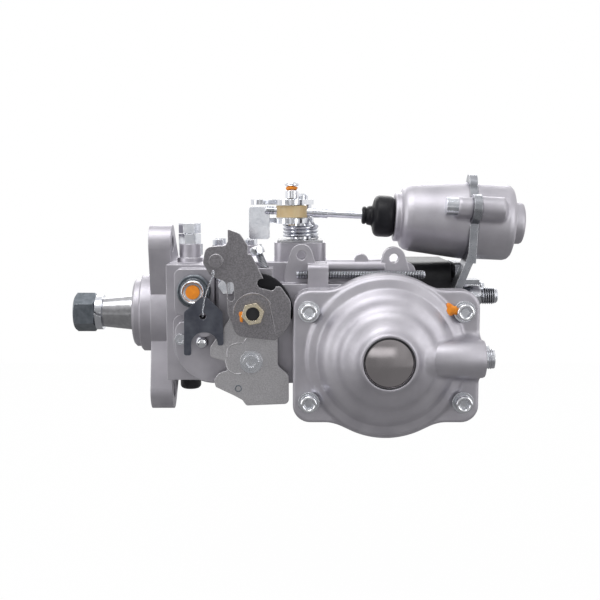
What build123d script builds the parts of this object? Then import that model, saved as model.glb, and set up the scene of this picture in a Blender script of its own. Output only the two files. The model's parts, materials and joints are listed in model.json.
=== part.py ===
from build123d import *
import math
import os

# Rotary distributor diesel injection pump, in millimetres.
# X runs along the drive shaft, drive end at minus X. Y runs away from the governor cover,
# which faces minus Y. Z is up. The origin is the centre of the mounting flange's front face.

os.makedirs("parts", exist_ok=True)

# Fits
running_gap = 0.05
loose_gap = 0.3

# Drive shaft, its nut and its spring washer
shaft_radius = 12.5
stub_radius = 8.0
taper_length = 20.0
taper_small_radius = 10.4
shaft_shoulder = 3.1
washer_thickness = 4.7
washer_radius = 12.4
washer_split = 1.6
nut_length = 15.3
nut_flats = 24.0
nut_overhang = 1.6
key_width = 5.0
key_height = 2.4
key_length = 12.0

# Mounting flange and nose
nose_length = 15.4
nose_radius = 24.3
pilot_length = 10.0
pilot_radius = 27.5
flange_thickness = 15.0
flange_bolt_circle = 116.0
flange_bolt_radius = 5.5
flange_lobe_radius = 13.0
flange_arm_radius = 30.0
flange_disc_radius = 38.0
flange_disc_thickness = 19.0
first_lobe_angle = 60.0

# Housing
housing_length = 172.0
housing_half_height = 38.0
housing_radius = 40.0
main_bore_radius = 35.0
chamber_start = 30.0
chamber_margin = 6.0
chamber_half_height = 30.0
split_y = -60.0
rim_thickness = 5.0
rim_overhang = 3.0
gasket_thickness = 1.0

# Bush and seal in the nose
bush_wall = 2.5
bush_start = -8.0
seal_width = 6.0
seal_radius = 18.5
seal_gap = 0.1

# Feed pump
pump_floor = 12.0
pump_ring_radius = 33.0
pump_ring_length = 13.0
pump_bore_radius = 26.0
pump_eccentricity = 2.4
pump_rotor_radius = 23.2
pump_plate_thickness = 3.0
vane_count = 4
vane_thickness = 3.0
vane_depth = 6.5

# Governor gears and shaft
gear_module = 1.25
drive_gear_teeth = 48
carrier_gear_teeth = 32
gear_start = 31.5
gear_length = 7.0
gear_backlash = 0.45
governor_shaft_radius = 4.0
governor_shaft_end = 84.0
governor_shaft_root = 20.0

# Flyweight carrier, flyweights and sleeve
cage_wall = 1.8
cage_disc = 3.0
cage_length = 22.0
flyweight_count = 2
flyweight_width = 8.4
flyweight_length = 9.0
flyweight_inner = 8.8
flyweight_outer = 11.8
toe_inner = 6.8
toe_length = 1.8
sleeve_radius = 6.4
sleeve_flange_radius = 8.2
sleeve_flange = 3.0
sleeve_length = 44.0

# Governor lever
lever_pin_x = 112.0
lever_pin_y = -36.0
lever_pin_radius = 3.0
lever_thickness = 7.0
lever_ball_y = -11.0
lever_ball_radius = 2.5
lever_pad_radius = 3.3
lever_boss_radius = 6.5
spring_y = -67.0

# Roller ring, rollers and timing device
roller_ring_start = 46.0
roller_ring_length = 13.0
roller_ring_inner = 19.5
roller_count = 3
roller_radius = 5.0
roller_length = 9.0
roller_circle = 26.5
roller_pin_radius = 2.0
roller_proud = 2.6
timing_y = 49.0
timing_bore_radius = 11.0
timing_boss_radius = 15.5
timing_half_length = 40.0
timing_piston_half = 17.0
timing_pin_radius = 3.5
timing_travel = 4.0
timing_cover_thickness = 6.0
timing_pad_half = 16.5
timing_pad_depth = 8.0
timing_screw_offset = 12.0
timing_screw_radius = 2.5

# Cam plate, plunger and spill collar
cam_lift = 2.2
cam_radius = 32.0
cam_thickness = 7.0
cam_lobe_count = 3
plunger_radius = 5.0
plunger_length = 98.0
plunger_margin = 8.9
claw_width = 12.0
claw_thickness = 7.0
claw_radius = 11.0
collar_radius = 12.0
collar_length = 13.0
collar_x = 108.0
collar_hole_depth = 4.4
collar_hole_gap = 0.7
return_spring_radius = 6.0
return_spring_wire = 1.2
return_spring_y = 22.0
return_spring_turns = 7

# Distributor head
head_length = 33.0
head_half = 38.0
head_corner = 12.0
barrel_radius = 15.0
barrel_length = 40.0
seat_boss_length = 22.0
bridge_thickness = 3.0
bridge_radius = 8.0
plunger_foot = 3.6
plunger_foot_radius = 7.5
head_screw_offset = 30.0
head_screw_radius = 3.0
head_screw_head_radius = 5.0
head_screw_head = 6.0
head_screw_depth = 14.0
outlet_count = 3
outlet_circle = 28.7
first_outlet_angle = 150.0
outlet_depth = 14.0
holder_shank_radius = 7.0
holder_shank = 12.5
holder_hex_flats = 14.0
holder_hex = 7.5
holder_thread_radius = 6.0
holder_thread = 12.0
holder_bore = 1.2
plug_flats = 20.0
plug_length = 9.0
plug_radius = 9.0

# Shut-off solenoid, on the head's lower side
solenoid_offset = 11.5
solenoid_radius = 10.0
solenoid_length = 30.0
solenoid_y = 6.0
armature_radius = 3.5
armature_length = 12.0
armature_travel = 2.0

# Governor cover, outline in X and Z
cover_left = 19.0
cover_overhang = 4.0
cover_low = -39.0
cover_high = 40.0
cover_corner = 27.0
cover_notch_x = 47.0
cover_notch_z = 6.0
cover_small_corner = 6.0
cover_top_y = -79.0
cover_wall = 4.0
pad_height = 5.0

# Boost compensator
boost_x = 155.0
boost_z = -17.0
boost_radius = 51.5
boost_base_y = -76.0
boost_split_y = -89.0
boost_neck_radius = 40.0
boost_chamber_radius = 34.0
boost_chamber_depth = 8.0
diaphragm_thickness = 1.2
diaphragm_disc_radius = 24.0
boost_pin_radius = 5.0
boost_pin_end_y = -64.0
boost_plate_length = 116.0
boost_plate_width = 83.0
boost_plate_corner = 11.0
boost_plate_thickness = 6.0
boost_screw_x = 48.0
boost_screw_z = 28.5
boost_screw_radius = 3.0
boost_screw_head_radius = 5.2
boost_screw_head = 6.0
boost_screw_depth = 12.0
boost_washer_radius = 6.7
boost_washer_thickness = 1.5
core_plug_radius = 15.1
core_plug_thickness = 2.4
boss_ring_radius = 17.4
boost_face_y = -121.5
port_boss_radius = 11.8
port_boss_y = -103.0
port_boss_end = 215.0
port_radius = 4.0
stub_tube_radius = 5.8
stub_tube_out = 5.5
stub_tube_in = 8.0
stub_seat_radius = 5.0

# Throttle lever
throttle_x = 72.6
throttle_z = 10.6
throttle_shaft_radius = 5.0
throttle_boss_radius = 10.0
throttle_hub_radius = 8.5
throttle_plate_y = -94.0
throttle_plate_thickness = 3.0
throttle_nut_flats = 12.5
throttle_nut_length = 5.5
throttle_stud_radius = 4.2
throttle_shaft_inner_y = -66.0
lobe_pin_x = 50.0
lobe_pin_z = 43.0
lobe_pin_radius = 4.2

# Bracket plate under the lever
bracket_plate_thickness = 2.5
bracket_screw_x = 70.8
bracket_screw_z = -21.4
bracket_screw_radius = 3.0
bracket_head_radius = 5.0
bracket_head = 5.0
bracket_washer_radius = 7.2
bracket_washer = 1.4

# Tag and its wire
tag_post_x = 41.4
tag_post_z = -0.5
tag_post_radius = 5.0
tag_y = -88.5
tag_thickness = 1.2
wire_radius = 0.5

# Fuel inlet and overflow valve
inlet_x = 34.0
inlet_z = 22.3
inlet_face_y = -73.0
inlet_block_left = 21.0
inlet_block_top = 36.0
inlet_block_gap = 0.4
inlet_flats = 21.0
inlet_hex = 8.0
inlet_collar_radius = 7.6
inlet_collar = 5.0
inlet_bore = 4.4
inlet_shank_radius = 8.0
inlet_shank = 6.0
transport_plug_length = 9.0
transport_plug_recess = 0.6
overflow_x = 56.0
overflow_z = 26.5
overflow_flats = 10.0
overflow_hex = 6.0
overflow_radius = 3.6
overflow_shank = 3.0

# Lock bolt
lock_x = 26.7
lock_y = -30.0
lock_boss_radius = 7.1
lock_boss_top = 50.2
lock_bolt_radius = 4.0
lock_flats = 13.0
lock_jam_length = 6.8
lock_stem = 0.5
lock_head_length = 6.6

# Capped port on the lower side, and pressure valve on the upper side
cap_x = 23.0
cap_radius = 7.4
cap_length = 14.7
port_length = 3.0
cap_fillet = 3.0
valve_x = 22.0
valve_y = 18.0
valve_flats = 15.0
valve_length = 12.0
valve_shank_radius = 5.0
valve_shank = 6.0

# Cold-start lever
start_x = 102.0
start_y = -14.0
start_pad_top = 51.0
start_pad_left = 84.0
start_pad_right = 119.0
start_pad_front = -34.0
start_pad_back = 4.0
base_plate_thickness = 1.6
start_shaft_radius = 5.0
start_shaft_root = 30.5
start_hub_radius = 7.5
fork_low = 64.3
fork_plate = 3.4
fork_gap = 9.0
arm_x = 96.0
arm_y = -36.0
tab_left = 67.0
tab_right = 81.0
tab_bottom = 53.5
tab_thickness = 2.6
coil_radius = 11.2
coil_wire = 1.2
coil_pitch = 2.5
coil_turns = 3.5

# Cold-start actuator, on a line that dips towards the head end
actuator_dip = 3.0
rod_height = 72.2
rod_radius = 2.6
rod_stick = 18.0
rod_end = 90.0
swivel_radius = 10.4
swivel_gap = 1.0
swivel_screw_radius = 2.4
swivel_nut_flats = 9.6
swivel_nut = 6.0
swivel_head_radius = 5.2
arm_slot_length = 3.6
arm_slot_gap = 0.4
rod_collar_start = 14.0
rod_collar_length = 10.0
rod_collar_radius = 3.3
boot_start = 47.1
boot_small_length = 7.0
boot_small_radius = 6.6
boot_large_length = 14.5
boot_large_radius = 13.9
boot_bore = 4.4
neck_radius = 16.3
neck_length = 4.0
front_body_length = 43.5
front_body_small = 22.9
front_body_large = 25.8
strap_thickness = 5.2
rear_body_length = 27.5
rear_body_radius = 25.4
rear_chamfer = 7.0
end_cap_radius = 14.0
end_cap_length = 8.0
body_wall = 3.0
lug_offset_y = 28.0
lug_offset_z = 9.0
lug_radius = 8.0
lug_screw_radius = 3.0
lug_length = 7.5
rear_lug_length = 16.0
lug_head_flats = 11.6
lug_head = 9.4
strap_front_y = -46.0
strap_back_y = -9.0
leg_front = 26.0
leg_back = 6.0
strap_ear = 31.0
bracket_knee_x = 211.0
foot_z = 22.5
foot_thickness = 3.0
foot_length = 17.0
foot_screw_y = -16.0
foot_screw_z = 29.5
foot_screw_depth = 9.0
foot_screw_radius = 2.6
foot_screw_head_radius = 3.4
foot_screw_head = 6.0

# Governor cover lugs and screws
lug_y_front = -69.5
lug_thickness = 8.0
first_lug_x = 102.4
first_lug_z = 44.6
second_lug_x = 161.9
second_lug_z = 42.8
lug_eye_radius = 3.0
lug_ear_radius = 7.2
full_load_y = -73.0
shelf_x = 84.0
shelf_z = 27.0
full_load_z = 32.5
full_load_radius = 3.0
full_load_start = 98.5
full_load_end = 182.0
full_load_lug_start = 106.5
full_load_lug_end = 119.5
stop_screw_radius = 1.8
stop_screw_length = 23.0
stop_screw_flats = 8.0
stop_pin_x = 39.5
stop_pin_z = -9.5
stop_pin_radius = 4.1
stop_pin_height = 8.5
cover_screw_radius = 2.0
cover_screw_head_radius = 3.6
cover_screw_head = 3.0
cover_screw_root = 9.0

# Places worked out from the sizes above
taper_end_x = -nose_length - shaft_shoulder
taper_start_x = taper_end_x - taper_length
washer_start_x = taper_start_x - washer_thickness
nut_start_x = washer_start_x - nut_length
flange_bolt_offset = flange_bolt_circle / 2
gear_end = gear_start + gear_length
rim_front_y = split_y - gasket_thickness - rim_thickness
governor_y = -(drive_gear_teeth + carrier_gear_teeth) * gear_module / 2
roller_ring_end = roller_ring_start + roller_ring_length
roller_x = roller_ring_end + roller_proud - roller_radius
roller_top_x = roller_x + roller_radius
cam_start = roller_top_x + cam_lift + loose_gap
cam_end = cam_start + cam_thickness
timing_x = (roller_ring_start + roller_ring_end) / 2
head_start = housing_length
cover_right = housing_length + cover_overhang
head_end = head_start + head_length
solenoid_x = head_start + solenoid_offset
barrel_start = head_start - barrel_length
bush_radius = shaft_radius + bush_wall
pad_y = cover_top_y - pad_height
bracket_front_y = pad_y - bracket_plate_thickness
cage_start = gear_end
cage_radius = -governor_y - main_bore_radius - loose_gap
cage_inner_radius = cage_radius - cage_wall
flyweight_x = cage_start + cage_disc + loose_gap
boost_top_y = boost_split_y - diaphragm_thickness
plate_top_y = boost_top_y - boost_plate_thickness
start_boss_top = start_pad_top + base_plate_thickness
fork_high = fork_low + fork_plate + fork_gap
neck_start = boot_start + boot_small_length + boot_large_length
front_start = neck_start + neck_length
strap_start = front_start + front_body_length
rear_start = strap_start + strap_thickness
cap_start = rear_start + rear_body_length


# Round bars and blocks between two stations
def bar_x(radius, start, end, y=0.0, z=0.0):
    return Pos((start + end) / 2, y, z) * Rot(0, 90, 0) * Cylinder(radius, abs(end - start))


def bar_y(radius, start, end, x, z):
    return Pos(x, (start + end) / 2, z) * Rot(90, 0, 0) * Cylinder(radius, abs(end - start))


def bar_z(radius, start, end, x, y):
    return Pos(x, y, (start + end) / 2) * Cylinder(radius, abs(end - start))


def block(x_low, x_high, y_low, y_high, z_low, z_high):
    centre = Pos((x_low + x_high) / 2, (y_low + y_high) / 2, (z_low + z_high) / 2)
    return centre * Box(x_high - x_low, y_high - y_low, z_high - z_low)


# The idle stop screw leans over the cover's upper edge
stop_screw_line = Plane(origin=(81.8, -71, 31), z_dir=(-9.5, 0, 21))


def stop_screw_bar():
    return extrude(stop_screw_line * Circle(stop_screw_radius), stop_screw_length)


# Flat outlines made thick along one axis
def slab_x(outline, start, end):
    return extrude(Plane.YZ.offset(start) * outline, end - start)


def slab_y(outline, back, front):
    return extrude(Plane.XZ.offset(-back) * outline, back - front)


def slab_z(outline, low, high):
    return extrude(Plane.XY.offset(low) * outline, high - low)


def outline(points, radii):
    return make_face(FilletPolyline(*points, radius=radii, close=True))


def hexagon(flats, turn=0.0):
    return Rot(0, 0, turn) * RegularPolygon(flats / 2, 6, major_radius=False)


def hull_of(*circles):
    edges = [edge for circle in circles for edge in circle.edges()]
    return make_hull(edges)


def disc_at(radius, u, v):
    return Pos(u, v) * Circle(radius)


# Turned pieces: the profile is a list of station and radius
def turned_x(profile, y=0.0, z=0.0):
    return Pos(0, y, z) * revolve(make_face(Polyline(*profile, close=True)), Axis.X)


def turned_y(profile, x, z):
    face = make_face(Polyline(*[(radius, y) for y, radius in profile], close=True))
    return Pos(x, 0, z) * revolve(face, Axis.Y)


def around_x(shape, count, first=0.0):
    return [Rot(first + 360 / count * i, 0, 0) * shape for i in range(count)]


# Pieces on the actuator's dipping line: the stations run along the line from the swivel
actuator_plane = Plane(
    origin=(arm_x, arm_y, rod_height),
    x_dir=(0, 1, 0),
    z_dir=(math.cos(math.radians(actuator_dip)), 0, -math.sin(math.radians(actuator_dip))),
)


def turned_line(profile, side=0.0, up=0.0):
    face = Plane.XZ * make_face(Polyline(*[(radius, s) for s, radius in profile], close=True))
    return actuator_plane.location * (Pos(side, up, 0) * revolve(face, Axis.Z))


def bar_line(radius, start, end, side=0.0, up=0.0):
    return turned_line([(start, 0), (start, radius), (end, radius), (end, 0)], side, up)


def coil(radius, wire, pitch, turns):
    path = Helix(pitch=pitch, height=pitch * turns, radius=radius)
    section = Plane(origin=path @ 0, z_dir=path % 0) * Circle(wire)
    return sweep(section, path, is_frenet=True)


def gear_face(teeth, bore):
    pitch_radius = teeth * gear_module / 2
    root = pitch_radius - 1.2 * gear_module
    tip = pitch_radius + 0.9 * gear_module
    half_tooth = math.pi * gear_module / 4 - gear_backlash / 2
    lean = 0.36 * gear_module
    corners = [
        (-(half_tooth + lean) / root, root),
        (-(half_tooth - lean) / tip, tip),
        ((half_tooth - lean) / tip, tip),
        ((half_tooth + lean) / root, root),
    ]
    points = []
    for tooth in range(teeth):
        middle = 2 * math.pi * tooth / teeth
        for turn, radius in corners:
            points.append((radius * math.cos(middle + turn), radius * math.sin(middle + turn)))
    return make_face(Polyline(*points, close=True)) - Circle(bore)


# Drive end
def drive_shaft():
    shaft = turned_x(
        [
            (nut_start_x + nut_overhang, 0),
            (nut_start_x + nut_overhang, stub_radius - 1),
            (nut_start_x + nut_overhang + 1, stub_radius),
            (taper_start_x, stub_radius),
            (taper_start_x, taper_small_radius),
            (taper_end_x, shaft_radius),
            (roller_ring_start - 2, shaft_radius),
            (roller_ring_start - 2, 0),
        ]
    )
    claw = block(
        roller_ring_start - 2,
        cam_end - 1,
        claw_radius - claw_thickness / 2,
        claw_radius + claw_thickness / 2,
        -claw_width / 2,
        claw_width / 2,
    )
    inside = bar_x(claw_radius + claw_thickness / 2, roller_ring_start - 2, cam_end)
    claws = around_x(claw & inside, 2)
    keyway = key_blank()
    return (shaft + claws[0] + claws[1]) - keyway


def key_blank():
    middle = taper_start_x + taper_length / 2
    return block(
        middle - key_length / 2,
        middle + key_length / 2,
        taper_small_radius - key_height / 2 - 0.4,
        taper_small_radius + key_height,
        -key_width / 2,
        key_width / 2,
    )


def spring_washer():
    ring = bar_x(washer_radius, washer_start_x, taper_start_x)
    ring -= bar_x(stub_radius + 0.2, washer_start_x, taper_start_x)
    cut = Pos((washer_start_x + taper_start_x) / 2, -washer_radius + 2, 0)
    cut = cut * Rot(0, 25, 0) * Box(washer_thickness * 1.6, 10, washer_split)
    return ring - cut


def shaft_nut():
    body = slab_x(hexagon(nut_flats, 30), nut_start_x, washer_start_x)
    corner = nut_flats / 2 / math.cos(math.radians(30))
    envelope = turned_x(
        [
            (nut_start_x, 0),
            (nut_start_x, nut_flats / 2 - 0.3),
            (nut_start_x + 1.6, corner + 0.2),
            (washer_start_x - 1.6, corner + 0.2),
            (washer_start_x, nut_flats / 2 - 0.3),
            (washer_start_x, 0),
        ]
    )
    return (body & envelope) - bar_x(stub_radius, nut_start_x, washer_start_x)


# Housing
def lobe_points():
    angles = [180 - first_lobe_angle, 180 + first_lobe_angle, 0]
    radians = [math.radians(a) for a in angles]
    return [(flange_bolt_offset * math.cos(a), flange_bolt_offset * math.sin(a)) for a in radians]


def mounting_flange():
    face = Circle(flange_disc_radius)
    for y, z in lobe_points():
        face += hull_of(Circle(flange_arm_radius), disc_at(flange_lobe_radius, y, z))
    flange = slab_x(face, 0, flange_thickness)
    flange += bar_x(flange_disc_radius, 0, flange_disc_thickness)
    for y, z in lobe_points():
        flange -= bar_x(flange_bolt_radius, -1, flange_disc_thickness + 1, y, z)
    return flange


def stepped_outline(left, right, low, high, step_x, step_z, corner, small):
    points = [(left, low), (right, low), (right, high), (step_x, high), (step_x, step_z), (left, step_z)]
    return outline(points, [corner, small, small, small, small / 2, small])


def cover_outline(inset=0.0):
    return stepped_outline(
        cover_left + inset,
        cover_right - inset,
        cover_low + inset,
        cover_high - inset,
        cover_notch_x + inset,
        cover_notch_z - inset,
        cover_corner - inset,
        cover_small_corner,
    )


def housing_section():
    upper = Pos(split_y / 2, 0) * Rectangle(-split_y, 2 * housing_half_height)
    return upper + Circle(housing_radius)


def governor_room(start, end, gap):
    gear_tip = (carrier_gear_teeth / 2 + 0.9) * gear_module
    room = bar_x(gear_tip + gap, start, gear_end + gap, governor_y)
    return room + bar_x(cage_radius + gap, start, end, governor_y)


def head_screw_points():
    sides = (-1, 1)
    return [(y * head_screw_offset, z * head_screw_offset) for y in sides for z in sides]


def timing_screw_points():
    sides = (-1, 1)
    offset = timing_screw_offset
    return [(timing_x + x * offset, timing_y + y * offset) for x in sides for y in sides]


def timing_pad(side, start, end):
    low, high = sorted((side * start, side * end))
    half = timing_pad_half
    pad = block(timing_x - half, timing_x + half, timing_y - half, timing_y + half, low, high)
    return fillet(pad.edges().filter_by(Axis.Z), 5)


def inlet_block():
    inner = block(
        inlet_block_left,
        cover_notch_x - inlet_block_gap,
        inlet_face_y,
        split_y + 1,
        cover_notch_z + inlet_block_gap,
        inlet_block_top,
    )
    return fillet(inner.edges().filter_by(Axis.Y), 4)


def pump_housing():
    nose = turned_x(
        [
            (-nose_length, 0),
            (-nose_length, nose_radius - 1.5),
            (-nose_length + 1.5, nose_radius),
            (-pilot_length, nose_radius),
            (-pilot_length, pilot_radius - 1),
            (-pilot_length + 1, pilot_radius),
            (1, pilot_radius),
            (1, 0),
        ]
    )
    body = slab_x(housing_section(), flange_thickness - 1, housing_length)
    end_face = Rectangle(2 * head_half, 2 * head_half)
    end_face = fillet(end_face.vertices(), head_corner)
    body += slab_x(end_face, housing_length - rim_thickness * 2, housing_length)
    rim = slab_y(cover_outline(), split_y + rim_thickness, split_y)
    rim &= block(0, housing_length, split_y, 0, -2 * housing_radius, 2 * housing_radius)
    timing = bar_z(timing_boss_radius, -timing_half_length, timing_half_length, timing_x, timing_y)
    for side in (-1, 1):
        timing += timing_pad(side, timing_half_length - timing_pad_depth, timing_half_length)
    timing += block(
        timing_x - timing_boss_radius + 3,
        timing_x + timing_boss_radius - 3,
        20,
        timing_y,
        -30,
        30,
    )
    lock = bar_z(lock_boss_radius, 20, lock_boss_top, lock_x, lock_y)
    lock += bar_z(lock_boss_radius + 1.5, 20, housing_half_height + 3, lock_x, lock_y)
    pad = block(start_pad_left, start_pad_right, start_pad_front, start_pad_back, 20, start_pad_top)
    pad = fillet(pad.edges().filter_by(Axis.Z), 6)
    port_low = -max(housing_radius, housing_half_height) - port_length
    port = bar_z(cap_radius - 3, port_low, 0, cap_x, 0)
    valve_boss = bar_z(valve_flats / 2, 20, valve_seat(), valve_x, valve_y)
    body = body + nose + mounting_flange() + rim + timing + lock + pad + port + valve_boss
    body += inlet_block()
    body -= housing_rooms()
    body -= housing_holes()
    return body


def housing_rooms():
    chamber_end = housing_length - chamber_margin
    rooms = bar_x(bush_radius, bush_start - 1, pump_floor + 1)
    rooms += bar_x(seal_radius, -nose_length - 1, bush_start)
    rooms += bar_x(pump_ring_radius, pump_floor, chamber_start + 1)
    rooms += bar_x(main_bore_radius, chamber_start, housing_length + 1)
    half = chamber_half_height
    rooms += block(chamber_start, chamber_end, split_y - 1, 0, -half, half)
    rooms += governor_room(chamber_start, chamber_start + 40, 1.3)
    timing_end = timing_half_length + 1
    rooms += bar_z(timing_bore_radius, -timing_end, timing_end, timing_x, timing_y)
    slot_half = timing_travel + timing_pin_radius + 1
    slot_side = timing_pin_radius + 1
    rooms += block(
        timing_x - slot_side,
        timing_x + slot_side,
        20,
        timing_y,
        -slot_half,
        slot_half,
    )
    return rooms


def housing_holes():
    shell_top = housing_half_height + 1
    holes = bar_x(governor_shaft_radius, governor_shaft_root, chamber_start + 1, governor_y)
    holes += bar_z(lever_pin_radius, -shell_top, shell_top, lever_pin_x, lever_pin_y)
    start_bore = start_shaft_radius + running_gap
    holes += bar_z(start_bore, start_shaft_root - 3, start_pad_top + 1, start_x, start_y)
    holes += bar_z(lock_bolt_radius, pump_ring_radius + 3, lock_boss_top + 1, lock_x, lock_y)
    inlet_root = inlet_face_y + inlet_shank
    holes += bar_y(inlet_shank_radius, inlet_root, inlet_face_y - 1, inlet_x, inlet_z)
    valve_root = valve_seat() - valve_shank
    holes += bar_z(valve_shank_radius, valve_root, valve_seat() + 1, valve_x, valve_y)
    for y, z in head_screw_points():
        root = housing_length - head_screw_depth
        holes += bar_x(head_screw_radius, root, housing_length + 1, y, z)
    for x, y in timing_screw_points():
        for side in (-1, 1):
            root = side * (timing_half_length - timing_pad_depth)
            holes += bar_z(timing_screw_radius, root, side * (timing_half_length + 1), x, y)
    for x, z in cover_screw_points():
        holes += bar_y(cover_screw_radius, split_y + cover_screw_root, split_y - 1, x, z)
    return holes


def drive_bush():
    return bar_x(bush_radius, bush_start, pump_floor) - bar_x(
        shaft_radius + running_gap, bush_start, pump_floor
    )


def shaft_seal():
    start = bush_start - seal_width
    lip = shaft_radius + seal_gap
    ring = bar_x(seal_radius, start, bush_start) - bar_x(lip, start, bush_start)
    groove = bar_x(seal_radius - 1.5, start, start + seal_width / 2)
    groove -= bar_x(lip + 1.5, start, start + seal_width / 2)
    return ring - groove


# Feed pump
def feed_pump_ring():
    end = pump_floor + pump_ring_length
    bore = bar_x(pump_bore_radius, pump_floor, end, pump_eccentricity)
    return bar_x(pump_ring_radius, pump_floor, end) - bore


def feed_pump_plate():
    start = pump_floor + pump_ring_length
    end = start + pump_plate_thickness
    return bar_x(pump_ring_radius, start, end) - bar_x(shaft_radius + loose_gap, start, end)


def vane_blank(side_room, root_room):
    inner = pump_rotor_radius - vane_depth - root_room
    half = vane_thickness / 2 + side_room
    start = pump_floor + loose_gap
    end = pump_floor + pump_ring_length - loose_gap
    return block(start, end, inner, pump_rotor_radius + 0.2, -half, half)


def feed_pump_rotor():
    start = pump_floor + loose_gap
    end = pump_floor + pump_ring_length - loose_gap
    rotor = bar_x(pump_rotor_radius, start, end) - bar_x(shaft_radius, start, end)
    for slot in around_x(vane_blank(0.1, 0.5), vane_count, 45):
        rotor -= slot
    return rotor


def feed_pump_vanes():
    return around_x(vane_blank(0, 0), vane_count, 45)


# Governor
def governor_drive_gear():
    return slab_x(gear_face(drive_gear_teeth, shaft_radius), gear_start, gear_end)


def governor_shaft():
    return bar_x(governor_shaft_radius, governor_shaft_root, governor_shaft_end, governor_y)


def flyweight_carrier():
    bore = governor_shaft_radius + running_gap
    face = Rot(0, 0, 180 / carrier_gear_teeth) * gear_face(carrier_gear_teeth, bore)
    carrier = slab_x(face, gear_start, gear_end)
    disc_end = cage_start + cage_disc
    cage = bar_x(cage_radius, cage_start, cage_start + cage_length)
    cage -= bar_x(cage_inner_radius, disc_end, cage_start + cage_length)
    cage -= bar_x(bore, cage_start, disc_end)
    half = flyweight_width / 2 + 0.5
    window = block(disc_end, cage_start + cage_length + 1, 0, cage_radius + 1, -half, half)
    for opening in around_x(window, flyweight_count):
        cage -= opening
    return Pos(0, governor_y, 0) * (carrier + cage)


def flyweight(index):
    half = flyweight_width / 2
    end = flyweight_x + flyweight_length
    weight = block(flyweight_x, end, flyweight_inner, flyweight_outer, -half, half)
    toe_end = flyweight_x + toe_length
    weight += block(flyweight_x, toe_end, toe_inner, flyweight_inner + 0.1, -half / 2, half / 2)
    turned = Rot(360 / flyweight_count * index, 0, 0) * weight
    return Pos(0, governor_y, 0) * turned


def sleeve_start():
    return flyweight_x + toe_length + loose_gap


def governor_sleeve():
    start = sleeve_start()
    end = start + sleeve_length
    sleeve = bar_x(sleeve_radius, start, end, governor_y)
    sleeve += bar_x(sleeve_flange_radius, start, start + sleeve_flange, governor_y)
    bore = governor_shaft_radius + running_gap
    return sleeve - bar_x(bore, start, governor_shaft_end + 1.5, governor_y)


def governor_lever():
    pad_x = sleeve_start() + sleeve_length + loose_gap + lever_pad_radius
    ball_x = collar_x + collar_length / 2
    boss = disc_at(lever_boss_radius, lever_pin_x, lever_pin_y)
    root = disc_at(lever_boss_radius - 1.5, lever_pin_x, lever_pin_y)
    face = hull_of(boss, disc_at(lever_pad_radius, pad_x, governor_y))
    face += hull_of(root, disc_at(2.2, ball_x, lever_ball_y - 6))
    face += hull_of(root, disc_at(3, lever_pin_x - 6, spring_y))
    lever = slab_z(face, -lever_thickness / 2, lever_thickness / 2)
    lever += bar_y(1.6, lever_ball_y - 7, lever_ball_y, ball_x, 0)
    lever += Pos(ball_x, lever_ball_y, 0) * Sphere(lever_ball_radius)
    bore = lever_pin_radius + running_gap
    return lever - bar_z(bore, -lever_thickness, lever_thickness, lever_pin_x, lever_pin_y)


def lever_pin():
    half = housing_half_height
    return bar_z(lever_pin_radius, -half, half, lever_pin_x, lever_pin_y)


# Roller ring and timing device
def at_rollers(shape):
    return around_x(shape, roller_count, 180 / roller_count)


def roller_ring():
    outer = main_bore_radius - running_gap
    ring = bar_x(outer, roller_ring_start, roller_ring_end)
    ring -= bar_x(roller_ring_inner, roller_ring_start, roller_ring_end)
    room = loose_gap
    low = roller_circle - roller_length / 2 - room
    high = roller_circle + roller_length / 2 + room
    side = roller_radius + room
    pocket = bar_y(side, low, high, roller_x, 0)
    pocket += block(roller_x, roller_ring_end + 1, low, high, -side, side)
    for cut in at_rollers(pocket):
        ring -= cut
    for cut in at_rollers(bar_y(roller_pin_radius, roller_ring_inner - 1, outer + 1, roller_x, 0)):
        ring -= cut
    return ring - bar_y(timing_pin_radius, timing_pin_root(), outer + 1, timing_x, 0)


def timing_pin_root():
    return main_bore_radius - 6


def rollers():
    start = roller_circle - roller_length / 2
    end = roller_circle + roller_length / 2
    bore = roller_pin_radius + running_gap
    roller = bar_y(roller_radius, start, end, roller_x, 0) - bar_y(bore, start, end, roller_x, 0)
    return at_rollers(roller)


def roller_pins():
    end = main_bore_radius - 0.6
    return at_rollers(bar_y(roller_pin_radius, roller_ring_inner, end, roller_x, 0))


def timing_pin():
    return bar_y(timing_pin_radius, timing_pin_root(), timing_y + 6, timing_x, 0)


def timing_piston():
    half = timing_piston_half
    piston = bar_z(timing_bore_radius - running_gap, -half, half, timing_x, timing_y)
    side = timing_pin_radius + loose_gap
    tall = timing_pin_radius + 1.4
    low = timing_y - timing_bore_radius - 1
    cut = block(timing_x - side, timing_x + side, low, timing_y + 6 + loose_gap, -tall, tall)
    return piston - cut


def timing_cover(side):
    cover = timing_pad(side, timing_half_length, timing_half_length + timing_cover_thickness)
    end = timing_half_length + timing_cover_thickness
    for x, y in timing_screw_points():
        cover -= bar_z(timing_screw_radius, side * timing_half_length, side * end, x, y)
    return cover


def timing_screws():
    screws = []
    top = timing_half_length + timing_cover_thickness
    root = timing_half_length - timing_pad_depth
    for side in (-1, 1):
        for x, y in timing_screw_points():
            screw = bar_z(timing_screw_radius, side * root, side * top, x, y)
            screw += bar_z(timing_screw_radius + 1.7, side * top, side * (top + 4), x, y)
            screws.append(screw)
    return screws


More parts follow.
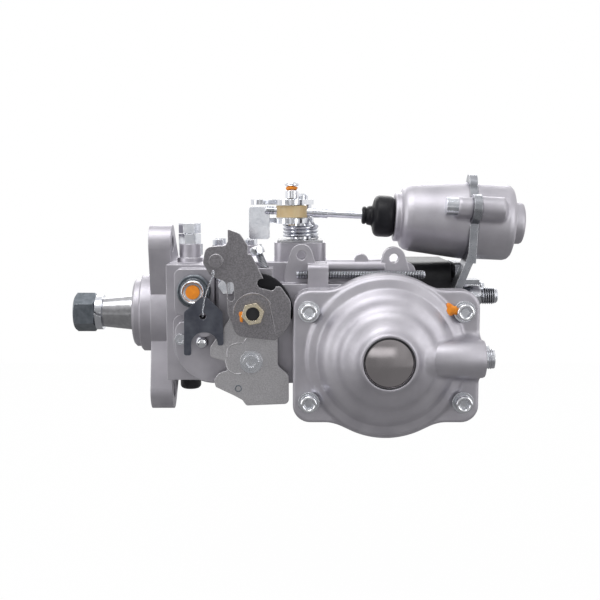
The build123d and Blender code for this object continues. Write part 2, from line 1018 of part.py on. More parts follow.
# Cam plate, plunger and spill collar
def cam_plate():
    plate = bar_x(cam_radius, cam_start, cam_end)
    big = 20.0
    lobe = bar_y(big, roller_ring_inner + 1.5, cam_radius + 1, cam_start - cam_lift + big, 0)
    lobe &= bar_x(cam_radius - 0.6, cam_start - cam_lift - 1, cam_start + 1)
    for bump in around_x(lobe, cam_lobe_count):
        plate += bump
    room = loose_gap
    low = claw_radius - claw_thickness / 2 - room
    high = claw_radius + claw_thickness / 2 + room
    side = claw_width / 2 + room
    slot = block(cam_start - 1, cam_end + 1, low, high, -side, side)
    for cut in around_x(slot, 2):
        plate -= cut
    return plate


def plunger():
    foot_end = cam_end + plunger_foot
    foot = bar_x(claw_radius - claw_thickness / 2 - 1, cam_end, foot_end)
    return foot + bar_x(plunger_radius, cam_end, plunger_end())


def plunger_end():
    return cam_end + plunger_length


def bridge_start():
    return cam_end + plunger_foot + loose_gap


def spring_bridge():
    start = bridge_start()
    centre = disc_at(plunger_foot_radius + 3, 0, 0)
    face = hull_of(centre, disc_at(bridge_radius, 0, return_spring_y))
    face += hull_of(centre, disc_at(bridge_radius, 0, -return_spring_y))
    face -= Circle(plunger_radius + loose_gap)
    return slab_x(face, start, start + bridge_thickness)


def return_springs():
    start = bridge_start() + bridge_thickness
    end = head_start - seat_boss_length
    wire = return_spring_wire
    pitch = (end - start - 2 * wire) / return_spring_turns
    spring = coil(return_spring_radius - wire, wire, pitch, return_spring_turns)
    springs = []
    for side in (-1, 1):
        springs.append(Pos(start + wire, 0, side * return_spring_y) * Rot(0, 90, 0) * spring)
    return Compound(springs)


def spill_collar():
    end = collar_x + collar_length
    collar = bar_x(collar_radius, collar_x, end)
    collar -= bar_x(plunger_radius + running_gap, collar_x, end)
    middle = collar_x + collar_length / 2
    hole = lever_ball_radius + collar_hole_gap
    return collar - bar_y(hole, -collar_radius - 1, -collar_radius + collar_hole_depth, middle, 0)


# Distributor head
def outlets(shape):
    return around_x(shape, outlet_count, first_outlet_angle)


def distributor_head():
    face = Rectangle(2 * head_half, 2 * head_half)
    block_part = slab_x(fillet(face.vertices(), head_corner), head_start, head_end)
    block_part = chamfer(block_part.faces().sort_by(Axis.X)[-1].edges(), 1.5)
    spigot_start = head_start - seat_boss_length
    head = block_part + bar_x(main_bore_radius - running_gap, spigot_start, head_start)
    head += bar_x(barrel_radius, barrel_start, spigot_start)
    head -= bar_x(plunger_radius + running_gap, barrel_start - 1, plunger_end() + plunger_margin)
    head -= bar_x(plug_radius, head_end - plug_length, head_end + 1)
    for hole in outlets(bar_x(holder_root_radius(), head_end - outlet_depth, head_end + 1, outlet_circle)):
        head -= hole
    for y, z in head_screw_points():
        head -= bar_x(head_screw_radius, head_start - 1, head_end + 1, y, z)
        sink = head_end - head_screw_head
        head -= bar_x(head_screw_head_radius + 0.2, sink, head_end + 1, y, z)
    head -= bar_z(solenoid_shank_radius(), -head_half - 1, -head_half + 10, solenoid_x, solenoid_y)
    root = head_end - foot_screw_depth
    return head - bar_x(foot_screw_radius, root, head_end + 1, foot_screw_y, foot_screw_z)


def holder_root_radius():
    return holder_shank_radius - 2


def solenoid_shank_radius():
    return solenoid_radius - 3


def socket_head_x(radius, start, end, y, z):
    head = bar_x(radius, start, end, y, z)
    socket = slab_x(Pos(y, z) * hexagon(radius), end - (end - start) / 2, end)
    return head - socket


def head_screws():
    screws = []
    for y, z in head_screw_points():
        sink = head_end - head_screw_head
        root = head_start - head_screw_depth
        screw = bar_x(head_screw_radius, root, sink, y, z)
        screws.append(screw + socket_head_x(head_screw_head_radius, sink, head_end, y, z))
    return screws


def delivery_holders():
    shank_end = head_end + holder_shank
    hex_end = shank_end + holder_hex
    end = hex_end + holder_thread
    holder = bar_x(holder_root_radius(), head_end - outlet_depth / 2, head_end)
    holder += bar_x(holder_shank_radius, head_end, shank_end)
    holder += slab_x(hexagon(holder_hex_flats), shank_end, hex_end)
    thread = bar_x(holder_thread_radius, hex_end, end)
    holder += chamfer(thread.faces().sort_by(Axis.X)[-1].edges(), 1)
    holder -= bar_x(holder_bore, head_end - outlet_depth, end + 1)
    holder -= Pos(end, 0, 0) * Rot(0, 90, 0) * Cone(0, 3.2, 6)
    return outlets(Pos(0, outlet_circle, 0) * holder)


def delivery_valves():
    start = head_end - outlet_depth
    valve = bar_x(holder_root_radius() - 0.1, start, head_end - outlet_depth / 2)
    valve -= bar_x(holder_bore, start - 1, start + 5)
    return outlets(Pos(0, outlet_circle, 0) * valve)


def central_plug():
    plug = bar_x(plug_radius, head_end - plug_length, head_end)
    return plug + slab_x(hexagon(plug_flats), head_end, head_end + plug_length)


def shutoff_solenoid():
    top = -head_half
    body = bar_z(solenoid_shank_radius(), top + 10, top, solenoid_x, solenoid_y)
    nut = Pos(solenoid_x, solenoid_y) * hexagon(2 * solenoid_radius + 2, 30)
    body += slab_z(nut, top - 6, top)
    body += bar_z(solenoid_radius, top - 6, top - solenoid_length + 5, solenoid_x, solenoid_y)
    body += bar_z(3, top - solenoid_length + 5, top - solenoid_length, solenoid_x, solenoid_y)
    bore = armature_radius + running_gap
    return body - bar_z(bore, top + 11, top - 10, solenoid_x, solenoid_y)


def solenoid_armature():
    low = -head_half - 10 + armature_travel + 2
    return bar_z(armature_radius, low, low + armature_length, solenoid_x, solenoid_y)


# Governor cover and its gasket
def cover_screw_points():
    return [(25.5, -8), (68, 33.5), (64, -33.5), (90, -33.5)]


def cover_gasket():
    front = split_y - gasket_thickness
    gasket = slab_y(cover_outline(), split_y, front)
    end = housing_length - chamber_margin
    half = chamber_half_height
    gasket -= block(chamber_start, end, front - 1, split_y + 1, -half, half)
    for x, z in cover_screw_points():
        gasket -= bar_y(cover_screw_radius, split_y + 1, front - 1, x, z)
    return gasket


def boost_ears(back, front):
    plate = Pos(boost_x, boost_z) * Rectangle(boost_plate_length, boost_plate_width)
    return slab_y(fillet(plate.vertices(), boost_plate_corner), back, front)


def boost_screw_points():
    sides = (-1, 1)
    return [(boost_x + x * boost_screw_x, boost_z + z * boost_screw_z) for x in sides for z in sides]


def boost_base():
    base = turned_y(
        [
            (rim_front_y, 0),
            (rim_front_y, boost_radius - 15.5),
            (boost_base_y, boost_radius - 5.5),
            (boost_base_y - 3, boost_radius),
            (boost_split_y, boost_radius),
            (boost_split_y, 0),
        ],
        boost_x,
        boost_z,
    )
    base += boost_ears(boost_base_y - 3, boost_split_y)
    for x, z in boost_screw_points():
        root = plate_top_y + boost_screw_depth
        base -= bar_y(boost_screw_radius, root, boost_split_y - 1, x, z)
    return base


def cover_lug(x, z):
    face = hull_of(disc_at(lug_ear_radius, x, z), disc_at(lug_ear_radius + 4, x, z - 14))
    lug = slab_y(face, lug_y_front + lug_thickness, lug_y_front)
    return lug


def governor_cover():
    base_y = split_y - gasket_thickness
    cover = slab_y(cover_outline(), base_y, rim_front_y)
    dome = slab_y(cover_outline(rim_overhang), rim_front_y, cover_top_y)
    high = cover_high + 1
    dome -= block(shelf_x, cover_right, cover_top_y - 1, rim_front_y, shelf_z, high)
    cover += dome + boost_base()
    cover += bar_y(throttle_boss_radius, cover_top_y + 1, pad_y, throttle_x, throttle_z)
    cover += bar_y(throttle_boss_radius - 2, cover_top_y + 1, pad_y, bracket_screw_x, bracket_screw_z)
    cover += bar_y(tag_post_radius, cover_top_y + 4, tag_y, tag_post_x, tag_post_z)
    cover += bar_y(overflow_flats / 2 + 1.5, cover_top_y + 1, cover_top_y - 1, overflow_x, overflow_z)
    cover += cover_lug(first_lug_x, first_lug_z) + cover_lug(second_lug_x, second_lug_z)
    stop = block(
        full_load_lug_start,
        full_load_lug_end,
        cover_top_y - 1,
        rim_front_y + 1,
        shelf_z - 5,
        full_load_z + 7,
    )
    cover += fillet(stop.edges().filter_by(Axis.X).group_by(Axis.Z)[-1], 3)
    cover += bar_x(4.2, full_load_lug_end - 1, 156, rim_front_y, full_load_z + 5)
    cover += bar_y(4.5, rim_front_y + 4, rim_front_y - 3, 141, cover_high + 1)
    return cover - cover_rooms()


def cover_rooms():
    base_y = split_y - gasket_thickness
    inner = cover_outline(rim_overhang + cover_wall)
    rooms = slab_y(inner, base_y + 1, cover_top_y + cover_wall)
    half = shelf_z - 3
    rooms &= block(chamber_start, boost_x - 5, cover_top_y, split_y + 1, -half, half)
    rooms += governor_room(chamber_start, chamber_start + 40, 1.3)
    floor = boost_split_y + boost_chamber_depth
    rooms += bar_y(boost_chamber_radius, floor, boost_split_y - 1, boost_x, boost_z)
    rooms += bar_y(boost_pin_radius + running_gap, split_y, floor - 1, boost_x, boost_z)
    bore = throttle_shaft_radius + running_gap
    rooms += bar_y(bore, split_y, pad_y - 1, throttle_x, throttle_z)
    rooms += bar_y(bracket_screw_radius, cover_top_y + 3, pad_y - 1, bracket_screw_x, bracket_screw_z)
    rooms += bar_y(stop_pin_radius - 1, cover_top_y + 3, cover_top_y - 1, stop_pin_x, stop_pin_z)
    overflow_root = cover_top_y - 1 + overflow_shank
    rooms += bar_y(overflow_radius, overflow_root, cover_top_y - 2, overflow_x, overflow_z)
    start = full_load_lug_start - 1
    rooms += bar_x(full_load_radius, start, full_load_lug_end + 1, full_load_y, full_load_z)
    rooms += stop_screw_bar()
    lug_back = lug_y_front + lug_thickness + 1
    rooms += bar_y(lug_eye_radius, lug_back, lug_y_front - 1, first_lug_x, first_lug_z)
    rooms += bar_y(lug_eye_radius, lug_back, lug_y_front - 1, second_lug_x, second_lug_z)
    for x, z in cover_screw_points():
        rooms += bar_y(cover_screw_radius, split_y, cover_top_y - 1, x, z)
    return rooms


def cover_screws():
    screws = []
    for x, z in cover_screw_points():
        top = cover_top_y
        screw = bar_y(cover_screw_radius, split_y + cover_screw_root, top, x, z)
        head = bar_y(cover_screw_head_radius, top, top - cover_screw_head, x, z)
        head -= slab_y(Pos(x, z) * hexagon(3.6), top - 1.2, top - cover_screw_head)
        screws.append(screw + head)
    return screws


def full_load_screw():
    screw = bar_x(full_load_radius, full_load_start, full_load_end, full_load_y, full_load_z)
    return chamfer(screw.edges(), 0.8)


# Boost compensator
def boost_cover():
    shell = turned_y(
        [
            (boost_top_y, 0),
            (boost_top_y, boost_radius),
            (boost_top_y - 4.6, boost_radius),
            (boost_top_y - 7, boost_radius - 2),
            (boost_top_y - 9.8, boost_neck_radius + 1),
            (boost_top_y - 12.3, boost_neck_radius),
            (boost_top_y - 15.8, 31),
            (boost_top_y - 18.8, 29.5),
            (boost_top_y - 21.8, 23.5),
            (boost_top_y - 24.3, 22.5),
            (boost_top_y - 27.3, boss_ring_radius),
            (boost_face_y, boss_ring_radius),
            (boost_face_y, 0),
        ],
        boost_x,
        boost_z,
    )
    cover = shell + boost_ears(boost_top_y, plate_top_y)
    cover += bar_x(port_boss_radius, boost_x + 20, port_boss_end, port_boss_y, boost_z)
    cover -= turned_y(
        [
            (boost_top_y + 1, 0),
            (boost_top_y + 1, boost_chamber_radius),
            (boost_top_y - 7, boost_chamber_radius),
            (boost_top_y - 12, 25),
            (boost_top_y - 20, 18.5),
            (boost_top_y - 25, 12),
            (boost_top_y - 25, 0),
        ],
        boost_x,
        boost_z,
    )
    recess = boost_face_y + core_plug_thickness + 0.8
    cover -= bar_y(core_plug_radius, recess, boost_face_y - 1, boost_x, boost_z)
    cover -= bar_x(port_radius, boost_x + 20, port_boss_end + 1, port_boss_y, boost_z)
    tube_start = port_boss_end - stub_tube_in
    cover -= bar_x(stub_seat_radius, tube_start, port_boss_end + 1, port_boss_y, boost_z)
    for x, z in boost_screw_points():
        cover -= bar_y(boost_screw_radius, boost_top_y + 1, plate_top_y - 1, x, z)
        cover -= bar_y(boost_washer_radius + 0.6, plate_top_y, plate_top_y - 4, x, z)
    return cover


def boost_cover_screws():
    screws = []
    for x, z in boost_screw_points():
        seat = plate_top_y - boost_washer_thickness
        screw = bar_y(boost_screw_radius, plate_top_y + boost_screw_depth, seat, x, z)
        head = bar_y(boost_screw_head_radius, seat, seat - boost_screw_head, x, z)
        socket = Pos(x, z) * hexagon(boost_screw_head_radius)
        head -= slab_y(socket, seat - boost_screw_head / 2, seat - boost_screw_head)
        screws.append(screw + head)
    return screws


def boost_cover_washers():
    washers = []
    for x, z in boost_screw_points():
        seat = plate_top_y - boost_washer_thickness
        washer = bar_y(boost_washer_radius, plate_top_y, seat, x, z)
        washers.append(washer - bar_y(boost_screw_radius, plate_top_y, seat, x, z))
    return washers


def core_plug():
    back = boost_face_y + core_plug_thickness + 0.8
    return bar_y(core_plug_radius, back, boost_face_y + 0.8, boost_x, boost_z)


def boost_port_stub():
    start = port_boss_end - stub_tube_in
    end = port_boss_end + stub_tube_out
    tube = bar_x(stub_seat_radius, start, port_boss_end, port_boss_y, boost_z)
    tube += bar_x(stub_tube_radius, port_boss_end, end, port_boss_y, boost_z)
    return tube - bar_x(port_radius, start, end, port_boss_y, boost_z)


def boost_diaphragm():
    diaphragm = bar_y(boost_radius - 2, boost_split_y, boost_top_y, boost_x, boost_z)
    for x, z in boost_screw_points():
        diaphragm -= bar_y(boost_screw_radius + 1, boost_split_y, boost_top_y, x, z)
    return diaphragm


def boost_pin():
    pin = bar_y(boost_pin_radius, boost_pin_end_y, boost_split_y, boost_x, boost_z)
    return pin + bar_y(diaphragm_disc_radius, boost_split_y + 2, boost_split_y, boost_x, boost_z)


# Throttle shaft, lever and nut
def throttle_shaft():
    step = throttle_plate_y
    end = throttle_plate_y - throttle_plate_thickness - throttle_nut_length + 1.6
    shaft = bar_y(throttle_shaft_radius, throttle_shaft_inner_y, step, throttle_x, throttle_z)
    return shaft + bar_y(throttle_stud_radius, step, end, throttle_x, throttle_z)


def throttle_outline():
    points = [
        (41.7, 42),
        (43.5, 51.4),
        (55.8, 52.3),
        (57.2, 55),
        (57.2, 62.4),
        (64.5, 59.6),
        (69.6, 52),
        (69.2, 47.2),
        (71.6, 46.6),
        (78.4, 33),
        (80.6, 27),
        (89.5, 27),
        (95.8, 18),
        (95.6, 4),
        (86.5, -6.5),
        (62, -4),
        (57, 10),
        (56, 30),
        (46, 34),
    ]
    radii = [4.5, 5, 1.2, 1.2, 0.6, 4, 2, 0.6, 0.6, 3, 1.5, 2, 6, 8, 3, 8, 8, 4, 4.5]
    return outline(points, radii)


def throttle_lever():
    front = throttle_plate_y - throttle_plate_thickness
    lever = slab_y(throttle_outline(), throttle_plate_y, front)
    lever += bar_y(throttle_hub_radius, pad_y - loose_gap, throttle_plate_y, throttle_x, throttle_z)
    lever -= bar_y(throttle_shaft_radius, pad_y, throttle_plate_y, throttle_x, throttle_z)
    lever -= bar_y(throttle_stud_radius, throttle_plate_y, front - 1, throttle_x, throttle_z)
    lever += bar_y(lobe_pin_radius, throttle_plate_y, front - 4, lobe_pin_x, lobe_pin_z)
    upper = hull_of(disc_at(3, throttle_x + 5.5, 29), disc_at(3, throttle_x + 11, 27.5))
    lever -= slab_y(upper & throttle_outline(), throttle_plate_y + 1, front - 1)
    side = hull_of(disc_at(2, 59, 20), disc_at(2, 58.6, 28))
    return lever - slab_y(side, throttle_plate_y + 1, front - 1)


def throttle_nut():
    back = throttle_plate_y - throttle_plate_thickness
    nut = Pos(throttle_x, throttle_z) * (hexagon(throttle_nut_flats, 12) - Circle(throttle_stud_radius))
    return slab_y(nut, back, back - throttle_nut_length)


# Bracket plate, its screw and the stop pin
def bracket_plate():
    points = [
        (45, -18.5),
        (53.8, -21),
        (55.9, -27),
        (50, -29),
        (47.3, -33),
        (48, -37.5),
        (59.5, -43),
        (65, -46),
        (67.5, -49.6),
        (94.4, -48.5),
        (94.4, -30),
        (87.4, -24),
        (87.4, 4),
        (84, 10),
        (60, 10),
        (50, -5),
        (45, -12),
    ]
    radii = [1.5, 2, 1.5, 1.5, 2, 2, 4, 2, 2, 3, 3, 3, 3, 3, 3, 3, 1.5]
    plate = slab_y(outline(points, radii), pad_y, bracket_front_y)
    plate -= bar_y(throttle_hub_radius + 0.5, pad_y + 1, bracket_front_y - 1, throttle_x, throttle_z)
    return plate - bar_y(
        bracket_screw_radius, pad_y + 1, bracket_front_y - 1, bracket_screw_x, bracket_screw_z
    )


def bracket_screw():
    seat = bracket_front_y - bracket_washer
    x, z = bracket_screw_x, bracket_screw_z
    screw = bar_y(bracket_screw_radius, cover_top_y + 3, seat, x, z)
    head = bar_y(bracket_head_radius, seat, seat - bracket_head, x, z)
    socket = Pos(x, z) * hexagon(bracket_head_radius)
    head -= slab_y(socket, seat - bracket_head / 2, seat - bracket_head)
    return screw + head


def bracket_washer_ring():
    x, z = bracket_screw_x, bracket_screw_z
    seat = bracket_front_y - bracket_washer
    ring = bar_y(bracket_washer_radius, bracket_front_y, seat, x, z)
    return ring - bar_y(bracket_screw_radius, bracket_front_y, seat, x, z)


def stop_pin():
    front = cover_top_y - stop_pin_height
    pin = bar_y(stop_pin_radius, cover_top_y, front + 2, stop_pin_x, stop_pin_z)
    pin += bar_y(stop_pin_radius - 1, cover_top_y + 3, cover_top_y, stop_pin_x, stop_pin_z)
    dome = Pos(stop_pin_x, front + 4.9, stop_pin_z) * Sphere(5)
    cut = block(0, 80, front - 2, front + 2, -40, 40)
    return pin + (dome & cut & bar_y(stop_pin_radius, front - 1, front + 3, stop_pin_x, stop_pin_z))


# Sealing tag and its wire
def seal_tag():
    points = [
        (29, 10.4),
        (41.4, 21.4),
        (53.2, 10.4),
        (53.6, -10.7),
        (49.9, -10.7),
        (49.9, -2.4),
        (33.3, -2.4),
        (33.3, -17),
        (28.6, -17),
    ]
    radii = [2, 4, 2, 1.5, 1, 7.8, 7.8, 1.5, 1.5]
    tag = slab_y(outline(points, radii), tag_y, tag_y - tag_thickness)
    return tag - bar_y(2.2, tag_y + 1, tag_y - tag_thickness - 1, 40.8, 7.8)


def tag_wire():
    start = (overflow_x - 1, cover_top_y - 4.5, overflow_z + 1.5)
    bend = (overflow_x - 7.5, cover_top_y - 4.5, overflow_z + 1.5)
    hole = (40.8, tag_y + 1.2, 7.8)
    way = [bend, (44.6, tag_y - 1.0, 24.5), (41.9, tag_y - 2.6, 16), (40.9, tag_y - 2.2, 10.2), hole]
    curve = Spline(*way, tangents=((-1, 0, 0), (0, 1, -0.4)))
    path = Line(start, bend) + curve
    return sweep(Plane(origin=start, z_dir=(-1, 0, 0)) * Circle(wire_radius), path)


# Fuel inlet, overflow valve and pressure valve
def fuel_inlet_union():
    hex_end = inlet_face_y - inlet_hex
    end = hex_end - inlet_collar
    body = slab_y(Pos(inlet_x, inlet_z) * hexagon(inlet_flats, 10), inlet_face_y, hex_end)
    body += bar_y(inlet_collar_radius, hex_end, end, inlet_x, inlet_z)
    body += bar_y(inlet_shank_radius, inlet_face_y + inlet_shank, inlet_face_y, inlet_x, inlet_z)
    return body - bar_y(inlet_bore, inlet_face_y + inlet_shank, end, inlet_x, inlet_z)


def transport_plug():
    front = inlet_face_y - inlet_hex - inlet_collar + transport_plug_recess
    return bar_y(inlet_bore, front + transport_plug_length, front, inlet_x, inlet_z)


def overflow_valve():
    seat = cover_top_y - 1
    top = seat - overflow_hex
    valve = slab_y(Pos(overflow_x, overflow_z) * hexagon(overflow_flats), seat, top)
    valve += bar_y(overflow_radius, seat + overflow_shank, seat, overflow_x, overflow_z)
    wire_y = cover_top_y - 4.5
    wire_z = overflow_z + 1.5
    return valve - bar_x(wire_radius, overflow_x - 1, overflow_x - 8, wire_y, wire_z)


def valve_seat():
    return max(housing_half_height + 2, housing_radius)


def pressure_valve():
    seat = valve_seat()
    valve = bar_z(valve_shank_radius, seat - valve_shank, seat, valve_x, valve_y)
    valve += slab_z(Pos(valve_x, valve_y) * hexagon(valve_flats), seat, seat + valve_length - 4)
    end = seat + valve_length
    return valve + bar_z(valve_flats / 2 - 2, end - 4, end, valve_x, valve_y)


# Lock bolt and capped port
def lock_bolt():
    head = lock_boss_top + lock_jam_length + lock_stem
    bolt = bar_z(lock_bolt_radius, pump_ring_radius + 3, head, lock_x, lock_y)
    return bolt + slab_z(Pos(lock_x, lock_y) * hexagon(lock_flats), head, head + lock_head_length)


def lock_nut():
    face = Pos(lock_x, lock_y) * (hexagon(lock_flats, 8) - Circle(lock_bolt_radius))
    return slab_z(face, lock_boss_top, lock_boss_top + lock_jam_length)


def port_cap():
    top = -max(housing_radius, housing_half_height) - loose_gap
    end = top - cap_length
    cap = bar_z(cap_radius, end, top, cap_x, 0)
    cap = fillet(cap.faces().sort_by(Axis.Z)[0].edges(), cap_fillet)
    return cap - bar_z(cap_radius - 3, top - port_length, top, cap_x, 0)


# Cold-start lever
def start_base_plate():
    half = 2.0
    plate = block(
        start_pad_left + half,
        start_pad_right - half,
        start_pad_front + half,
        start_pad_back - half,
        start_pad_top,
        start_boss_top,
    )
    bore = start_shaft_radius + loose_gap
    return plate - bar_z(bore, start_pad_top, start_boss_top, start_x, start_y)


def start_shaft():
    end = fork_high + fork_plate + 4
    shaft = bar_z(start_shaft_radius, start_shaft_root, end, start_x, start_y)
    return chamfer(shaft.faces().sort_by(Axis.Z)[-1].edges(), 1)


def arm_slot():
    reach = math.hypot(arm_x - start_x, arm_y - start_y)
    far = 1 + (arm_slot_length / reach)
    far_x = start_x + (arm_x - start_x) * far
    far_y = start_y + (arm_y - start_y) * far
    hole = swivel_screw_radius + arm_slot_gap
    return hull_of(disc_at(hole, arm_x, arm_y), disc_at(hole, far_x, far_y))


def lever_face():
    pivot = disc_at(9, start_x, start_y)
    face = hull_of(pivot, disc_at(9.5, arm_x - 1, arm_y - 2))
    return face + hull_of(disc_at(6, start_x, start_y), disc_at(6, 74, -26))


def start_lever():
    plate = slab_z(lever_face() - arm_slot(), fork_low, fork_low + fork_plate)
    hub_start = start_boss_top + loose_gap
    lever = plate + bar_z(start_hub_radius, hub_start, fork_low, start_x, start_y)
    lever -= bar_z(start_shaft_radius, hub_start, fork_low + fork_plate, start_x, start_y)
    tab = block(tab_left, tab_right, -32, -32 + tab_thickness, tab_bottom, fork_high - 1.5)
    return lever + fillet(tab.edges().filter_by(Axis.Y), 2)


def start_lever_top():
    upper = slab_z(lever_face() - arm_slot(), fork_high, fork_high + fork_plate)
    upper += bar_z(start_hub_radius, fork_low + fork_plate, fork_high, start_x, start_y)
    low = fork_low + fork_plate
    return upper - bar_z(start_shaft_radius, low, fork_high + fork_plate, start_x, start_y)


def torsion_spring():
    spring = coil(coil_radius, coil_wire, coil_pitch, coil_turns)
    return Pos(start_x, start_y, start_boss_top + coil_wire + 0.1) * spring


def swivel():
    low = fork_low + fork_plate + swivel_gap / 2
    high = fork_high - swivel_gap / 2
    body = bar_z(swivel_radius, low, high, arm_x, arm_y)
    body += bar_z(swivel_screw_radius, fork_low - 1.5, low, arm_x, arm_y)
    body -= bar_line(rod_radius, -rod_stick, rod_stick)
    return body - bar_z(swivel_screw_radius, clamp_tip_z(), high, arm_x, arm_y)


def clamp_tip_z():
    return rod_height + rod_radius + 0.1


def clamp_screw():
    seat = fork_high + fork_plate + swivel_gap / 2
    neck = seat + swivel_nut
    screw = bar_z(swivel_screw_radius, clamp_tip_z(), neck, arm_x, arm_y)
    head = bar_z(swivel_head_radius, neck, neck + 4, arm_x, arm_y)
    return screw + fillet(head.faces().sort_by(Axis.Z)[-1].edges(), 2.4)


def clamp_nut():
    seat = fork_high + fork_plate + swivel_gap / 2
    face = Pos(arm_x, arm_y) * (hexagon(swivel_nut_flats) - Circle(swivel_screw_radius))
    return slab_z(face, seat, seat + swivel_nut)


def stop_screw():
    screw = stop_screw_bar()
    return screw + extrude(stop_screw_line.offset(17) * hexagon(stop_screw_flats), 4.5)


# Cold-start actuator
def pull_rod():
    end = rod_collar_start + rod_collar_length
    rod = turned_line(
        [
            (-rod_stick, 0),
            (-rod_stick, rod_radius - 0.6),
            (-rod_stick + 0.6, rod_radius),
            (rod_collar_start, rod_radius),
            (rod_collar_start, rod_collar_radius),
            (end, rod_collar_radius),
            (end, rod_radius),
            (rod_end, rod_radius),
            (rod_end, 0),
        ]
    )
    return rod


def boot():
    large = boot_start + boot_small_length
    end = large + boot_large_length
    return turned_line(
        [
            (boot_start, boot_bore),
            (boot_start, boot_small_radius - 1),
            (boot_start + 1, boot_small_radius),
            (large - 1, boot_small_radius),
            (large, boot_large_radius - 1.5),
            (large + 1.5, boot_large_radius),
            (end, boot_large_radius),
            (end, boot_large_radius - 3),
            (large + 4, boot_large_radius - 3),
            (large + 2.5, boot_bore),
        ]
    )


def lug_places():
    return [(-lug_offset_y, lug_offset_z), (lug_offset_y, -lug_offset_z)]


def actuator_front():
    body = turned_line(
        [
            (neck_start, rod_radius + running_gap),
            (neck_start, neck_radius),
            (front_start, neck_radius),
            (front_start, front_body_small - 5),
            (front_start + 1.5, front_body_small - 1.5),
            (front_start + 5, front_body_small),
            (strap_start - 2, front_body_large),
            (strap_start, front_body_large),
            (strap_start, front_body_small - body_wall),
            (front_start + 6, front_body_small - body_wall),
            (front_start + 6, rod_radius + running_gap),
        ]
    )
    for side, up in lug_places():
        start = strap_start - lug_length
        body += bar_line(lug_radius, start, strap_start, side, up)
    hollow = bar_line(front_body_small - body_wall, front_start + 6, strap_start)
    body -= hollow
    for side, up in lug_places():
        seat = strap_start - lug_length
        body -= bar_line(lug_screw_radius, seat, strap_start, side, up)
        body -= bar_line(lug_head_flats / 2 + 0.3, seat - lug_head - 1, seat, side, up)
    return body


def actuator_rear():
    body = turned_line(
        [
            (rear_start, rear_body_radius - body_wall - 2),
            (rear_start, rear_body_radius),
            (cap_start - rear_chamfer, rear_body_radius),
            (cap_start - 2, rear_body_radius - rear_chamfer),
            (cap_start, rear_body_radius - rear_chamfer - 2),
            (cap_start, end_cap_radius - 3),
            (cap_start - body_wall, end_cap_radius - 3),
            (cap_start - rear_chamfer, rear_body_radius - body_wall - 5),
            (rear_start + 3, rear_body_radius - body_wall - 2),
        ]
    )
    for side, up in lug_places():
        lug = bar_line(lug_radius, rear_start, rear_start + rear_lug_length, side, up)
        body += lug - bar_line(rear_body_radius - body_wall - 2, rear_start, cap_start)
    for side, up in lug_places():
        body -= bar_line(lug_screw_radius, rear_start, rear_start + rear_lug_length - 4, side, up)
    return body


def actuator_cap():
    end = cap_start + end_cap_length
    return turned_line(
        [
            (cap_start - body_wall, 0),
            (cap_start - body_wall, end_cap_radius - 3),
            (cap_start, end_cap_radius - 3),
            (cap_start, end_cap_radius),
            (end - 2, end_cap_radius),
            (end, end_cap_radius - 2),
            (end, 6),
            (end - 2, 6),
            (end - 2, 0),
        ]
    )


def actuator_bracket():
    face = Circle(front_body_large)
    for side, up in lug_places():
        face += hull_of(Circle(12), disc_at(lug_radius + 0.6, side, up))
    face += hull_of(disc_at(9, -4, strap_ear - 9), disc_at(9, 6, 0))
    face += Pos(-(leg_front + leg_back) / 2, -10) * Rectangle(leg_front - leg_back, 34)
    face -= Circle(front_body_small - body_wall - 4)
    for side, up in lug_places():
        face -= disc_at(lug_screw_radius, side, up)
    plate = actuator_plane.location * (Pos(0, 0, strap_start) * extrude(face, strap_thickness))
    foot_x = head_end - 3
    foot_end = head_end + strap_thickness
    leg_points = [
        (foot_x, foot_z),
        (foot_x + strap_thickness, foot_z),
        (bracket_knee_x + 2, head_half - 1),
        (bracket_knee_x + strap_thickness, head_half + 6),
        (bracket_knee_x, head_half + 8),
        (bracket_knee_x - 2.6, head_half),
    ]
    leg = slab_y(make_face(Polyline(*leg_points, close=True)), arm_y - leg_back, arm_y - leg_front)
    leg -= bar_line(front_body_large + 0.3, neck_start, strap_start)
    leg -= bar_line(rear_body_radius + 0.3, rear_start, cap_start + 9)
    foot = block(head_end, foot_end, strap_front_y, strap_back_y, foot_z, head_half)
    foot = fillet(foot.edges().filter_by(Axis.X), 2)
    tab = block(foot_end - 1, foot_end + foot_length - 3, -30, -14, foot_z, foot_z + foot_thickness)
    bracket = plate + leg + foot + tab
    return bracket - bar_x(foot_screw_radius, head_end, foot_end + 1, foot_screw_y, foot_screw_z)


def foot_screw():
    seat = head_end + strap_thickness
    start = head_end - foot_screw_depth
    screw = bar_x(foot_screw_radius, start, seat, foot_screw_y, foot_screw_z)
    end = seat + foot_screw_head
    return screw + socket_head_x(foot_screw_head_radius, seat, end, foot_screw_y, foot_screw_z)


def actuator_screws():
    screws = []
    for side, up in lug_places():
        seat = strap_start - lug_length
        screw = bar_line(lug_screw_radius, seat, rear_start + rear_lug_length - 4, side, up)
        screw += bar_line(lug_head_flats / 2, seat - lug_head, seat, side, up)
        screws.append(screw)
    return screws


